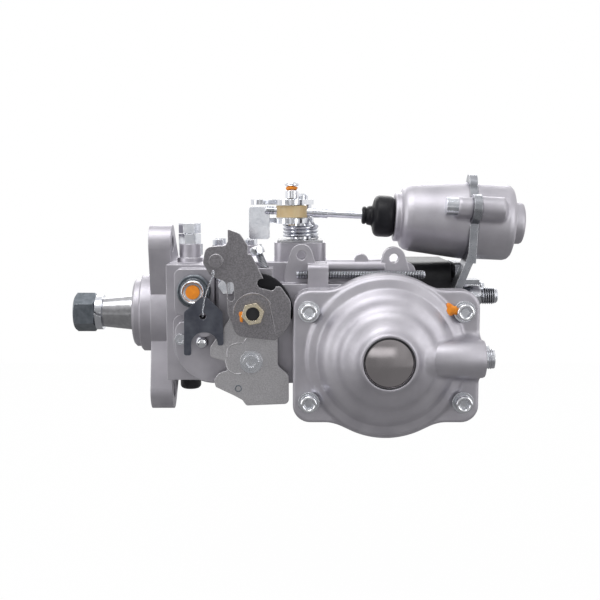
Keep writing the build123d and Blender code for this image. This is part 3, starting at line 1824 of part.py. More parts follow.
# One file for each piece
export_step(Compound([drive_shaft(), key_blank()]), "parts/drive_shaft.step")
export_step(spring_washer(), "parts/spring_washer.step")
export_step(shaft_nut(), "parts/shaft_nut.step")
export_step(pump_housing(), "parts/pump_housing.step")
export_step(drive_bush(), "parts/drive_bush.step")
export_step(shaft_seal(), "parts/shaft_seal.step")
export_step(Compound([feed_pump_ring(), feed_pump_plate()]), "parts/feed_pump_ring.step")
export_step(Compound([feed_pump_rotor()] + feed_pump_vanes()), "parts/feed_pump_rotor.step")
export_step(governor_drive_gear(), "parts/governor_drive_gear.step")
export_step(Compound([governor_shaft(), lever_pin()]), "parts/governor_pins.step")
export_step(flyweight_carrier(), "parts/flyweight_carrier.step")
export_step(flyweight(0), "parts/flyweight_1.step")
export_step(flyweight(1), "parts/flyweight_2.step")
export_step(governor_sleeve(), "parts/governor_sleeve.step")
export_step(governor_lever(), "parts/governor_lever.step")
export_step(roller_ring(), "parts/roller_ring.step")
export_step(Compound(rollers() + roller_pins() + [timing_pin()]), "parts/rollers_and_pins.step")
export_step(timing_piston(), "parts/timing_piston.step")
export_step(Compound([timing_cover(-1), timing_cover(1)]), "parts/timing_covers.step")
export_step(cam_plate(), "parts/cam_plate.step")
export_step(plunger(), "parts/distributor_plunger.step")
export_step(spring_bridge(), "parts/spring_bridge.step")
export_step(return_springs(), "parts/plunger_return_springs.step")
export_step(spill_collar(), "parts/spill_collar.step")
export_step(distributor_head(), "parts/distributor_head.step")
export_step(Compound(head_screws() + timing_screws() + cover_screws()), "parts/casting_screws.step")
export_step(
    Compound(delivery_holders() + delivery_valves() + [central_plug()]), "parts/delivery_fittings.step"
)
export_step(shutoff_solenoid(), "parts/shutoff_solenoid.step")
export_step(solenoid_armature(), "parts/solenoid_armature.step")
export_step(cover_gasket(), "parts/cover_gasket.step")
export_step(governor_cover(), "parts/governor_cover.step")
export_step(
    Compound([full_load_screw(), stop_screw(), stop_pin()]),
    "parts/adjusting_screws.step",
)
export_step(boost_cover(), "parts/boost_cover.step")
export_step(
    Compound(boost_cover_screws() + boost_cover_washers() + [bracket_screw(), bracket_washer_ring()]),
    "parts/cover_fixings.step",
)
export_step(core_plug(), "parts/core_plug.step")
export_step(boost_port_stub(), "parts/boost_port_stub.step")
export_step(boost_diaphragm(), "parts/boost_diaphragm.step")
export_step(boost_pin(), "parts/boost_pin.step")
export_step(throttle_shaft(), "parts/throttle_shaft.step")
export_step(throttle_lever(), "parts/throttle_lever.step")
export_step(throttle_nut(), "parts/throttle_nut.step")
export_step(bracket_plate(), "parts/bracket_plate.step")
export_step(seal_tag(), "parts/seal_tag.step")
export_step(tag_wire(), "parts/tag_wire.step")
export_step(fuel_inlet_union(), "parts/fuel_inlet_union.step")
export_step(transport_plug(), "parts/transport_plug.step")
export_step(Compound([overflow_valve(), pressure_valve()]), "parts/valves.step")
export_step(Compound([lock_bolt(), lock_nut()]), "parts/lock_bolt.step")
export_step(port_cap(), "parts/port_cap.step")
export_step(start_base_plate(), "parts/start_base_plate.step")
export_step(
    Compound([start_shaft(), start_lever(), start_lever_top()]), "parts/start_lever.step"
)
export_step(torsion_spring(), "parts/torsion_spring.step")
export_step(swivel(), "parts/swivel.step")
export_step(Compound([clamp_screw(), clamp_nut()]), "parts/clamp_screw.step")
export_step(pull_rod(), "parts/pull_rod.step")
export_step(boot(), "parts/boot.step")
export_step(actuator_front(), "parts/actuator_front.step")
export_step(Compound([actuator_rear(), actuator_cap()]), "parts/actuator_rear.step")
export_step(actuator_bracket(), "parts/actuator_bracket.step")
export_step(Compound(actuator_screws() + [foot_screw()]), "parts/actuator_screws.step")
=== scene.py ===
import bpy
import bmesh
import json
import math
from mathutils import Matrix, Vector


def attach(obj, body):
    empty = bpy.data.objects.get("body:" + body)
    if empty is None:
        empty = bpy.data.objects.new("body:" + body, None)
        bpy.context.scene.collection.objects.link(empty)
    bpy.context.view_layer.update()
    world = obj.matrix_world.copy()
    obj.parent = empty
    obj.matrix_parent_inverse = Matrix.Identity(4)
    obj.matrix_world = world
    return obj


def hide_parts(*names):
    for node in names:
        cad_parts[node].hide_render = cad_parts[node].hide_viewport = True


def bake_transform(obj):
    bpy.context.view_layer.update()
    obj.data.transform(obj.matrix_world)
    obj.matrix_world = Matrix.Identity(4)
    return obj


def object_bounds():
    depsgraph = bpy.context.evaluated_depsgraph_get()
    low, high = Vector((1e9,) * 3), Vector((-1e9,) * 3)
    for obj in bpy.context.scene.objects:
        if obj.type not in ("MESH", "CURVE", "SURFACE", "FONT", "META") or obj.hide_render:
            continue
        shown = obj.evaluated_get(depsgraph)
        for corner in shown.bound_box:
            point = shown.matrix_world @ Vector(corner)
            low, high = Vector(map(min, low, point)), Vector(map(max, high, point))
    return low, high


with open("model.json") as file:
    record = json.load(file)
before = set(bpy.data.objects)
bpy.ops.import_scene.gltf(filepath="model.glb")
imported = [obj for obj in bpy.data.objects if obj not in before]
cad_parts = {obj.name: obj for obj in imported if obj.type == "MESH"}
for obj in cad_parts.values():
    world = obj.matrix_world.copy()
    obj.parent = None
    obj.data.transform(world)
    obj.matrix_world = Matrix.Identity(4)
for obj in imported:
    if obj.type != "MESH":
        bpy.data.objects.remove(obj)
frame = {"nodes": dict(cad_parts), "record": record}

# %% [markdown]
# # A diesel injection pump, dressed over its CAD frame
# The frame brings every machined piece at its true size and place, in metres. Blender's share
# is what a camera sees: finishes, threads, paint marks, and small shapes too fine for the CAD.
# The CAD box is kept first, because the dressed pump may not grow beyond it.

MM = 0.001
cad_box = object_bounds()
print("CAD box, metres:", [[round(v, 4) for v in corner] for corner in cad_box])

# %% [markdown]
# ## The camera
# The photograph is taken square on to the governor cover, from a little above, with a lens long
# enough to keep the boost cover round. A 60 mm lens at 0.71 m gives that. The camera looks at a
# point on the shaft's axis, so that its height alone sets how much of each top face shows.

# %% Camera at the photograph's angle
camera_target = Vector((101.5, 0.0, 8.6)) * MM
camera_distance = 0.714
camera_elevation = math.radians(6.0)
camera_data = bpy.data.cameras.new("photo_camera")
camera_data.lens = 60.0
camera_data.sensor_width = 36.0
camera = bpy.data.objects.new("photo_camera", camera_data)
camera.location = camera_target + camera_distance * Vector(
    (0.0, -math.cos(camera_elevation), math.sin(camera_elevation))
)
camera.rotation_euler = (math.pi / 2 - camera_elevation, 0.0, 0.0)
bpy.context.collection.objects.link(camera)
bpy.context.scene.camera = camera
bpy.context.scene.view_settings.view_transform = "Standard"
print("camera at", [round(v, 3) for v in camera.location])

# %% [markdown]
# ## A white studio with a dim room behind the camera
# The pump is shown on pure white, so camera rays see white everywhere. Bare metal is drawn by
# what it mirrors: in a room that is white all round it goes flat and pale. So the mirrored room
# is white above, at the sides and behind the pump, and falls to a dim grey behind the camera.
# That darkness is what models the turned edges and the hexagons. One low strip of light in it
# gives the polished disc its bright bar. Matt surfaces get a plain level of their own.

# %% Light path masks
studio_level = 0.5


def ray_mask(tree, *kinds):
    path = tree.nodes.new("ShaderNodeLightPath")
    mask = path.outputs[kinds[0]]
    for kind in kinds[1:]:
        either = tree.nodes.new("ShaderNodeMath")
        either.operation = "MAXIMUM"
        tree.links.new(mask, either.inputs[0])
        tree.links.new(path.outputs[kind], either.inputs[1])
        mask = either.outputs[0]
    return mask


def map_range(tree, value, low, high, from_low=0.0, from_high=1.0):
    scale = tree.nodes.new("ShaderNodeMapRange")
    scale.inputs["From Min"].default_value = from_low
    scale.inputs["From Max"].default_value = from_high
    for socket, end in ((scale.inputs["To Min"], low), (scale.inputs["To Max"], high)):
        if isinstance(end, float):
            socket.default_value = end
        else:
            tree.links.new(end, socket)
    tree.links.new(value, scale.inputs["Value"])
    return scale.outputs["Result"]


print("matt surfaces get a room level of", studio_level)

# %% The world: what is mirrored depends on where a ray goes
room_patches, room_dark, room_light, ceiling_level, strip_level = 2.4, 0.3, 0.62, 0.75, 1.25
strip_edges = (("X", -0.24, -0.14), ("X", 0.2, 0.12), ("Z", -0.1, -0.04), ("Z", 0.05, 0.01), ("Y", -0.9, -0.95))
world = bpy.data.worlds.new("white_studio")
world.use_nodes = True
world_tree = world.node_tree
background = world_tree.nodes["Background"]
background.inputs["Color"].default_value = (1.0, 1.0, 1.0, 1.0)
heading = world_tree.nodes.new("ShaderNodeSeparateXYZ")
heading_source = world_tree.nodes.new("ShaderNodeTexCoord")
world_tree.links.new(heading_source.outputs["Generated"], heading.inputs["Vector"])
room_noise = world_tree.nodes.new("ShaderNodeTexNoise")
room_noise.inputs["Scale"].default_value = room_patches
room_noise.inputs["Detail"].default_value = 1.0
world_tree.links.new(heading_source.outputs["Generated"], room_noise.inputs["Vector"])
dim_room = map_range(
    world_tree, room_noise.outputs["Fac"], room_dark, room_light, from_low=0.35, from_high=0.65
)
front_room = map_range(world_tree, heading.outputs["Y"], dim_room, 1.0, from_low=-0.85, from_high=0.1)
ceiling = map_range(world_tree, heading.outputs["Z"], 0.0, ceiling_level, from_low=0.3, from_high=0.62)
brighter = world_tree.nodes.new("ShaderNodeMath")
brighter.operation = "MAXIMUM"
world_tree.links.new(front_room, brighter.inputs[0])
world_tree.links.new(ceiling, brighter.inputs[1])
strip = 1.0
for axis, dark_end, lit_end in strip_edges:
    strip = map_range(world_tree, heading.outputs[axis], 0.0, strip, dark_end, lit_end)
lit_room = map_range(world_tree, strip, brighter.outputs[0], strip_level)
mirrored = map_range(
    world_tree, ray_mask(world_tree, "Is Glossy Ray", "Is Transmission Ray"), studio_level, lit_room
)
seen = map_range(world_tree, ray_mask(world_tree, "Is Camera Ray"), mirrored, 1.0)
world_tree.links.new(seen, background.inputs["Strength"])
bpy.context.scene.world = world
print("world nodes:", len(world_tree.nodes))

# %% Floor, well below the pump, which its flange holds in the air
floor_drop = 0.12
floor_half = 0.9
floor_z = cad_box[0][2] - floor_drop
floor_mesh = bpy.data.meshes.new("floor")
corners = [(-1, -1), (1, -1), (1, 1), (-1, 1)]
floor_mesh.from_pydata([(x * floor_half, y * floor_half, floor_z) for x, y in corners], [], [(0, 1, 2, 3)])
floor = bpy.data.objects.new("floor", floor_mesh)
bpy.context.collection.objects.link(floor)
print("floor at z", round(floor_z, 3))

# %% Floor paint: white to the camera, a mid grey where metal mirrors it
floor_paint, floor_mirror_level, floor_white_share = 0.7, 0.28, 0.985
pale = bpy.data.materials.new("pale_floor")
pale.use_nodes = True
pale_tree = pale.node_tree
pale_paint = pale_tree.nodes["Principled BSDF"]
pale_paint.inputs["Base Color"].default_value = (floor_paint, floor_paint, floor_paint, 1.0)
pale_paint.inputs["Roughness"].default_value = 0.9
white = pale_tree.nodes.new("ShaderNodeEmission")
white_level = map_range(pale_tree, ray_mask(pale_tree, "Is Camera Ray"), floor_mirror_level, 1.0)
pale_tree.links.new(white_level, white.inputs["Strength"])
floor_mirrored = map_range(pale_tree, ray_mask(pale_tree, "Is Glossy Ray", "Is Transmission Ray"), 0.0, 1.0)
floor_share = map_range(pale_tree, ray_mask(pale_tree, "Is Camera Ray"), floor_mirrored, floor_white_share)
blend_floor = pale_tree.nodes.new("ShaderNodeMixShader")
pale_tree.links.new(floor_share, blend_floor.inputs["Fac"])
pale_tree.links.new(pale_paint.outputs["BSDF"], blend_floor.inputs[1])
pale_tree.links.new(white.outputs["Emission"], blend_floor.inputs[2])
pale_tree.links.new(blend_floor.outputs["Shader"], pale_tree.nodes["Material Output"].inputs["Surface"])
floor_mesh.materials.append(pale)
print("floor paint:", pale.name)

# %% Soft lamps
def soft_lamp(name, place, size, power):
    lamp_data = bpy.data.lights.new(name, "AREA")
    lamp_data.shape = "RECTANGLE"
    lamp_data.size = size[0]
    lamp_data.size_y = size[1]
    lamp_data.energy = power
    lamp = bpy.data.objects.new(name, lamp_data)
    lamp.location = place
    lamp.rotation_euler = (camera_target - Vector(place)).to_track_quat("-Z", "Y").to_euler()
    bpy.context.collection.objects.link(lamp)


soft_lamp("key_above", (-0.1, -0.38, 0.9), (0.8, 0.45), 5.0)
soft_lamp("fill_right", (0.85, -0.7, 0.25), (0.3, 0.7), 2.4)
soft_lamp("fill_left", (-0.75, -0.6, 0.2), (0.3, 0.7), 2.2)
soft_lamp("rim_back", (0.1, 0.75, 0.5), (0.8, 0.4), 3.5)

# %% [markdown]
# ## Rounded edges without new geometry
# CAD edges are knife sharp, and real castings and turned parts never are. The Bevel node bends
# the normals near an edge, so that each edge catches a thin line of light. The same node gives
# a mask of the edges: where its normal leans away from the true one, handling has worn the metal.

# %% Edge normals and an edge mask
def rounded_normal(tree, radius):
    bevel = tree.nodes.new("ShaderNodeBevel")
    bevel.samples = 6
    bevel.inputs["Radius"].default_value = radius
    return bevel.outputs["Normal"]


def edge_mask(tree, radius, sharpness):
    geometry = tree.nodes.new("ShaderNodeNewGeometry")
    dot = tree.nodes.new("ShaderNodeVectorMath")
    dot.operation = "DOT_PRODUCT"
    tree.links.new(rounded_normal(tree, radius), dot.inputs[0])
    tree.links.new(geometry.outputs["Normal"], dot.inputs[1])
    return map_range(tree, dot.outputs["Value"], 0.0, 1.0, 1.0, 1.0 - sharpness)


print("edges: bevel radius is given by each finish")

# %% Grain made of noise in the object's own coordinates
def grain(tree, grains_per_metre, detail):
    place = tree.nodes.new("ShaderNodeTexCoord").outputs["Object"]
    noise = tree.nodes.new("ShaderNodeTexNoise")
    noise.inputs["Scale"].default_value = grains_per_metre
    noise.inputs["Detail"].default_value = detail
    tree.links.new(place, noise.inputs["Vector"])
    return noise.outputs["Fac"]


def ramp(tree, value, tones, low=0.3, high=0.7):
    mixer = tree.nodes.new("ShaderNodeValToRGB")
    for element, place, tone in zip(mixer.color_ramp.elements, (low, high), tones):
        element.position = place
        element.color = (*tone, 1.0)
    tree.links.new(value, mixer.inputs["Fac"])
    return mixer.outputs["Color"]


def mix_colour(tree, fac, first, second):
    mix = tree.nodes.new("ShaderNodeMix")
    mix.data_type = "RGBA"
    tree.links.new(fac, mix.inputs["Factor"])
    for socket, colour in ((mix.inputs["A"], first), (mix.inputs["B"], second)):
        if isinstance(colour, tuple):
            socket.default_value = (*colour, 1.0)
        else:
            tree.links.new(colour, socket)
    return mix.outputs["Result"]


def bumped(tree, height, distance, normal):
    bump = tree.nodes.new("ShaderNodeBump")
    bump.inputs["Distance"].default_value = distance
    tree.links.new(height, bump.inputs["Height"])
    tree.links.new(normal, bump.inputs["Normal"])
    return bump.outputs["Normal"]


print("grain, ramp, mix and bump are ready")

# %% One recipe for every finish: edge radius and skin depth in millimetres
edge_wear = 0.3
roughness_grain = 0.4
tone_detail, roughness_detail, skin_detail = 4.0, 3.0, 4.0


def new_finish(name, metallic, tones, roughness, edge, grains, depth, worn=None):
    finish = bpy.data.materials.new(name)
    finish.use_nodes = True
    tree = finish.node_tree
    shader = tree.nodes["Principled BSDF"]
    shader.inputs["Metallic"].default_value = metallic
    tone_grain, skin_grain = grains
    colour = ramp(tree, grain(tree, tone_grain, tone_detail), tones)
    if worn:
        colour = mix_colour(tree, edge_mask(tree, edge * MM, edge_wear), colour, worn)
    tree.links.new(colour, shader.inputs["Base Color"])
    rough = map_range(tree, grain(tree, skin_grain * roughness_grain, roughness_detail), *roughness)
    tree.links.new(rough, shader.inputs["Roughness"])
    height = grain(tree, skin_grain, skin_detail)
    skin = bumped(tree, height, depth * MM, rounded_normal(tree, edge * MM))
    tree.links.new(skin, shader.inputs["Normal"])
    return finish


print("finish recipe: tone, worn edges, roughness and skin")

# %% [markdown]
# ## Cast aluminium
# The housing and the governor cover are gravity castings, shot-blasted to a fine, even, slightly
# violet grey. A broad noise shifts the tone by a few percent, as the skin of a casting does, and
# a fine one pits the surface. Worn edges are a shade brighter. The boost cover and the actuator
# are die castings with generous radii, so their edges are rounded more.

# %% Cast aluminium finishes
cast_tones = ((0.42, 0.405, 0.445), (0.52, 0.505, 0.545))
cast_edge = (0.66, 0.65, 0.69)
cast_roughness = (0.38, 0.54)
cast_grains = (60.0, 2600.0)
cast = new_finish(
    "cast_aluminium", 0.85, cast_tones, cast_roughness, edge=0.8, grains=cast_grains, depth=0.10, worn=cast_edge
)
die_cast = new_finish(
    "die_cast_aluminium", 0.85, cast_tones, cast_roughness, edge=2.0, grains=cast_grains, depth=0.08
)
print("castings:", cast.name, die_cast.name)

# %% [markdown]
# ## Bright zinc, ground steel and dark plate
# Screws and fittings carry bright zinc: a near mirror with a faint blue tone. Ground steel is
# greyer. The throttle lever and its bracket are dull pressed plate. The disc in the boost cover
# is polished, and mirrors the dim room in front of it.

# %% Bright zinc and its darker cousins
zinc_tones = ((0.62, 0.64, 0.69), (0.76, 0.77, 0.81))
zinc_edge = (0.9, 0.91, 0.93)
thread_zinc = new_finish(
    "thread_zinc", 1.0, zinc_tones, roughness=(0.12, 0.2), edge=0.04, grains=(200.0, 3000.0), depth=0.004
)
bright_tones = ((0.74, 0.75, 0.79), (0.84, 0.85, 0.88))
bright = new_finish(
    "bright_screw", 1.0, bright_tones, roughness=(0.08, 0.16), edge=0.4, grains=(260.0, 1800.0), depth=0.01
)
zinc = new_finish(
    "bright_zinc", 1.0, zinc_tones, roughness=(0.14, 0.24), edge=0.3, grains=(200.0, 3000.0), depth=0.012,
    worn=zinc_edge,
)
dull_tones = ((0.30, 0.31, 0.34), (0.42, 0.43, 0.46))
dull_zinc = new_finish(
    "dull_zinc", 1.0, dull_tones, roughness=(0.22, 0.36), edge=0.4, grains=(140.0, 2400.0), depth=0.02,
    worn=zinc_edge,
)
dark_tones = ((0.14, 0.16, 0.18), (0.22, 0.24, 0.27))
dark_zinc = new_finish(
    "dark_zinc", 1.0, dark_tones, roughness=(0.25, 0.4), edge=0.3, grains=(300.0, 2600.0), depth=0.02,
    worn=(0.5, 0.52, 0.55),
)
print("zinc:", zinc.name, dull_zinc.name, dark_zinc.name)

# %% Dark grooves: a thread's root lies in its own shadow
groove_reach, groove_tone, groove_shut, groove_open = 1.0, 0.06, 0.55, 0.92


def dark_grooves(finish):
    tree = finish.node_tree
    shader = tree.nodes["Principled BSDF"]
    openness = tree.nodes.new("ShaderNodeAmbientOcclusion")
    openness.inputs["Distance"].default_value = groove_reach * MM
    tone = tree.nodes.new("ShaderNodeVectorMath")
    tone.operation = "SCALE"
    tree.links.new(shader.inputs["Base Color"].links[0].from_socket, tone.inputs[0])
    shade = map_range(tree, openness.outputs["AO"], groove_tone, 1.0, groove_shut, groove_open)
    tree.links.new(shade, tone.inputs["Scale"])
    tree.links.new(tone.outputs["Vector"], shader.inputs["Base Color"])


dark_grooves(thread_zinc)
print("grooves darkened in", thread_zinc.name)

# %% Ground and polished steel
ground_tones = ((0.40, 0.40, 0.42), (0.52, 0.52, 0.54))
ground = new_finish(
    "ground_steel", 1.0, ground_tones, roughness=(0.16, 0.28), edge=0.3, grains=(260.0, 2800.0), depth=0.012
)
polished_tones = ((0.40, 0.37, 0.38), (0.48, 0.45, 0.46))
polished = new_finish(
    "polished_cap", 1.0, polished_tones, roughness=(0.06, 0.12), edge=0.3, grains=(30.0, 400.0), depth=0.01
)
print("steel:", ground.name, polished.name)

# %% Pressed plate and the smoked sealing tag
plate_edge = (0.72, 0.71, 0.74)
plate_tones = ((0.20, 0.19, 0.205), (0.34, 0.33, 0.35))
plate = new_finish(
    "pressed_plate", 0.9, plate_tones, roughness=(0.26, 0.5), edge=0.6, grains=(1500.0, 1500.0), depth=0.09,
    worn=plate_edge,
)
pale_tones = ((0.44, 0.43, 0.45), (0.62, 0.61, 0.63))
pale_plate = new_finish(
    "pale_plate", 0.9, pale_tones, roughness=(0.26, 0.5), edge=0.6, grains=(1500.0, 1500.0), depth=0.09,
    worn=plate_edge,
)
tag_tones = ((0.085, 0.09, 0.115), (0.15, 0.16, 0.19))
tag_plate = new_finish(
    "tag_plate", 0.9, tag_tones, roughness=(0.25, 0.4), edge=0.3, grains=(160.0, 1800.0), depth=0.03,
    worn=(0.45, 0.46, 0.5),
)
print("plate:", plate.name, pale_plate.name, tag_plate.name)

# %% [markdown]
# ## Black parts, nylon and plug orange
# The distributor head is blackened, and the boot is rubber, dark with a fine bloom. The swivel
# bush is natural nylon: a warm beige that lets a little light in.

# %% Black finishes and the gasket
black_tones = ((0.012, 0.012, 0.014), (0.03, 0.03, 0.034))
black_head = new_finish(
    "blackened_head", 0.3, black_tones, roughness=(0.35, 0.55), edge=0.6, grains=(90.0, 1600.0), depth=0.05,
    worn=(0.08, 0.08, 0.09),
)
rubber_tones = ((0.004, 0.004, 0.006), (0.011, 0.011, 0.014))
rubber = new_finish(
    "black_rubber", 0.0, rubber_tones, roughness=(0.34, 0.5), edge=0.6, grains=(130.0, 1900.0), depth=0.04
)
rubber.node_tree.nodes["Principled BSDF"].inputs["Specular IOR Level"].default_value = 0.22
gasket_tones = ((0.03, 0.03, 0.035), (0.07, 0.07, 0.075))
gasket = new_finish(
    "gasket_sheet", 0.0, gasket_tones, roughness=(0.6, 0.85), edge=0.2, grains=(600.0, 2400.0), depth=0.05
)
print("black:", black_head.name, rubber.name, gasket.name)

# %% Natural nylon, which lets a little light in
nylon_tones = ((0.50, 0.37, 0.19), (0.62, 0.48, 0.28))
nylon = new_finish(
    "natural_nylon", 0.0, nylon_tones, roughness=(0.35, 0.5), edge=0.5, grains=(70.0, 1200.0), depth=0.03
)
nylon_shader = nylon.node_tree.nodes["Principled BSDF"]
nylon_shader.inputs["Subsurface Weight"].default_value = 0.25
nylon_shader.inputs["Subsurface Scale"].default_value = 1.5 * MM
nylon_shader.inputs["Subsurface Radius"].default_value = (1.0, 0.7, 0.4)
print("nylon:", nylon.name)

# %% Orange, yellow zinc and bronze
orange_tones = ((0.70, 0.20, 0.008), (0.86, 0.29, 0.012))
orange = new_finish(
    "plug_orange", 0.0, orange_tones, roughness=(0.3, 0.5), edge=0.3, grains=(300.0, 1500.0), depth=0.06
)
yellow_tones = ((0.66, 0.58, 0.40), (0.76, 0.68, 0.56))
yellow = new_finish(
    "yellow_zinc", 1.0, yellow_tones, roughness=(0.14, 0.26), edge=0.35, grains=(350.0, 2200.0), depth=0.02
)
bronze_tones = ((0.45, 0.28, 0.12), (0.6, 0.4, 0.2))
bronze = new_finish(
    "bush_bronze", 1.0, bronze_tones, roughness=(0.25, 0.4), edge=0.3, grains=(200.0, 2200.0), depth=0.02
)
print("colours:", orange.name, yellow.name, bronze.name)

# %% Each node gets its finish
finishes = {
    "cast_aluminium": cast,
    "dark_head": black_head,
    "zinc_steel": zinc,
    "ground_steel": ground,
    "lever_steel": plate,
    "yellow_zinc": yellow,
    "bush_bronze": bronze,
    "black_rubber": rubber,
    "gasket_sheet": gasket,
    "nylon": nylon,
    "orange_plastic": orange,
}
own_finish = {
    "bracket_plate": pale_plate,
    "shaft_nut": dark_zinc,
    "seal_tag": tag_plate,
    # The throttle shaft's near-black finish is painted shade: its end, deep in the nut's bore, stands for the
    # shade there.
    "throttle_shaft": black_head,
    "boost_cover": die_cast,
    "actuator_front": die_cast,
    "actuator_rear": die_cast,
    "actuator_bracket": dull_zinc,
    "start_lever": zinc,
    "start_base_plate": ground,
    "core_plug": polished,
    "pull_rod": zinc,
}
for part in frame["record"]["subparts"]:
    node = frame["nodes"][part["node"]]
    finish = own_finish.get(part["node"], finishes[part["material_slot"]])
    if not node.material_slots:
        node.data.materials.append(finish)
    for place in node.material_slots:
        place.material = finish

# %% [markdown]
# ## Helpers for turned, threaded and smooth pieces
# Most small parts of a pump are turned on a lathe, so one helper spins a profile about any line.
# A profile is a list of stations along the line and radii, in millimetres, like a drawing.

# %% From a bmesh to a finished piece that rides on its body
def finished_piece(name, shape, finish, body, sharp=40.0):
    bmesh.ops.recalc_face_normals(shape, faces=shape.faces)
    mesh = bpy.data.meshes.new(name)
    shape.to_mesh(mesh)
    shape.free()
    mesh.polygons.foreach_set("use_smooth", [True] * len(mesh.polygons))
    mesh.set_sharp_from_angle(angle=math.radians(sharp))
    mesh.materials.append(finish)
    piece = bpy.data.objects.new(name, mesh)
    bpy.context.collection.objects.link(piece)
    if body:
        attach(piece, body)
    return piece


print("finished_piece is ready")

# %% Rings of points around a line, joined into a skin
def across(line):
    aside = line.cross(Vector((0.0, 0.0, 1.0)))
    if aside.length < 0.1:
        aside = Vector((1.0, 0.0, 0.0))
    aside.normalize()
    return aside, line.cross(aside).normalized()


def ring_skin(rings, closed_ends=True):
    shape = bmesh.new()
    rows = [[shape.verts.new(point) for point in ring] for ring in rings]
    around = len(rows[0])
    for first, second in zip(rows, rows[1:]):
        for k in range(around):
            n = (k + 1) % around
            shape.faces.new((first[k], first[n], second[n], second[k]))
    if closed_ends:
        shape.faces.new(rows[0])
        shape.faces.new(rows[-1])
    return shape


def ring_points(centre, line, radius_at, around):
    aside, other = across(line)
    points = []
    for k in range(around):
        angle = 2.0 * math.pi * k / around
        radius = radius_at(k / around)
        points.append(centre + (aside * math.cos(angle) + other * math.sin(angle)) * radius)
    return points


def hexagon_reach(turn, flats):
    from_flat = turn % (1.0 / 6.0) - 1.0 / 12.0
    return flats / 2 / math.cos(2.0 * math.pi * from_flat)


def turned_skin(start, line, profile, around=96, closed_ends=True, flats=None):
    rings = []
    for station, radius in profile:
        centre = start + line * station * MM

        def reach(turn):
            return (min(radius, hexagon_reach(turn, flats)) if flats else radius) * MM

        rings.append(ring_points(centre, line, reach, around))
    return ring_skin(rings, closed_ends)


def turned_piece(name, start, line, profile, finish, body="housing", slot="zinc_steel", sharp=40.0, **skin):
    return finished_piece(name, turned_skin(start, line, profile, **skin), finish, body, sharp)


def hexagon_piece(name, start, line, length, flats, chamfer=0.8):
    rim = flats / 2 - 0.1
    corner = flats / 2 / math.cos(math.pi / 6)
    profile = [(0.0, rim), (chamfer, corner), (length - chamfer, corner), (length, rim)]
    return turned_piece(name, start, line, profile, zinc, flats=flats)


def dome(base, radius, height, steps=10):
    leans = [math.pi / 2 * step / (steps + 0.5) for step in range(1, steps + 1)]
    return [(base + height * math.sin(lean), radius * math.cos(lean)) for lean in leans]


print("turned_skin, turned_piece, hexagon_piece and dome are ready")

# %% [markdown]
# ## Threads
# Screw threads give a pump its glitter: dozens of fine rings, each with its own highlight. In
# the CAD a screw is a plain rod. A skin around the rod rises and falls along a helix: at each
# point, how far the turn has advanced against the pitch gives the height of a triangle wave.

# %% A threaded rod
along_x = Vector((1.0, 0.0, 0.0))
along_y = Vector((0.0, 1.0, 0.0))
along_z = Vector((0.0, 0.0, 1.0))


def threaded_skin(name, start, line, length, crest, pitch, finish, body="housing", tail=()):
    rings_per_turn = 8
    around = 36
    depth_share = 0.6
    flat_crest = 1.15
    depth = depth_share * pitch
    count = round(length / pitch * rings_per_turn)
    rings = []
    for ring in range(count + 1):
        station = length * ring / count
        run_out = max(0.0, min(1.0, station / pitch, (length - station) / pitch))

        def radius_at(turn):
            phase = (station / pitch - turn) % 1.0
            height = min(1.0, flat_crest * (1.0 - abs(2.0 * phase - 1.0)))
            return (crest - depth + depth * run_out * height) * MM

        rings.append(ring_points(start + line * station * MM, line, radius_at, around))
    for station, radius in tail:
        rings.append(ring_points(start + line * station * MM, line, lambda turn: radius * MM, around))
    return finished_piece(name, ring_skin(rings), finish, body, sharp=60.0)


print("threaded_skin is ready")

# %% Delivery valve holders: shank, hexagon, thread and the pipe's cone seat
outlet_radius, outlet_angles, head_face = 28.7, (150.0, 270.0, 30.0), 205.0
shank_length, hexagon_length, holder_flats = 12.5, 7.5, 14.0
thread_length, thread_crest, thread_pitch, thread_chamfer = 12.0, 6.0, 1.5, 1.3
shank_profile = [(-0.3, 7.0), (1.2, 7.0), (1.6, 6.3), (shank_length - 1.0, 6.3), (shank_length + 0.1, 6.8)]
cone_seat = [(thread_length - 0.9, 5.2), (thread_length, 4.4), (thread_length, 3.2), (thread_length - 5.5, 0.5)]
for number, angle in enumerate(outlet_angles, 1):
    turn = math.radians(angle)
    foot = Vector((head_face, outlet_radius * math.cos(turn), outlet_radius * math.sin(turn))) * MM
    hexagon_foot = foot + along_x * shank_length * MM
    thread_foot = hexagon_foot + along_x * (hexagon_length - 0.1) * MM
    shank = turned_piece(f"outlet_shank_{number}", foot, along_x, shank_profile, zinc)
    nut = hexagon_piece(f"outlet_hexagon_{number}", hexagon_foot, along_x, hexagon_length, holder_flats)
    thread = threaded_skin(
        f"outlet_thread_{number}", thread_foot, along_x, thread_length - thread_chamfer, thread_crest,
        thread_pitch, thread_zinc, tail=cone_seat,
    )
    for piece in (shank, nut, thread):
        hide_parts("delivery_fittings")
plug_foot = Vector((head_face, 0.0, 0.0)) * MM
head_plug = hexagon_piece("head_plug_hexagon", plug_foot, along_x, length=9.0, flats=20.0, chamfer=1.2)
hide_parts("delivery_fittings")

# %% Full-load screw
full_load_start = Vector((99.3, -73.0, 32.5)) * MM
full_load_length = 81.9
full_load = threaded_skin(
    "full_load_thread", full_load_start, along_x, full_load_length, crest=2.8, pitch=1.0, finish=thread_zinc,
    tail=[(full_load_length, 1.6), (full_load_length - 0.9, 1.3)],
)
print("full-load screw, mm:", full_load_length)

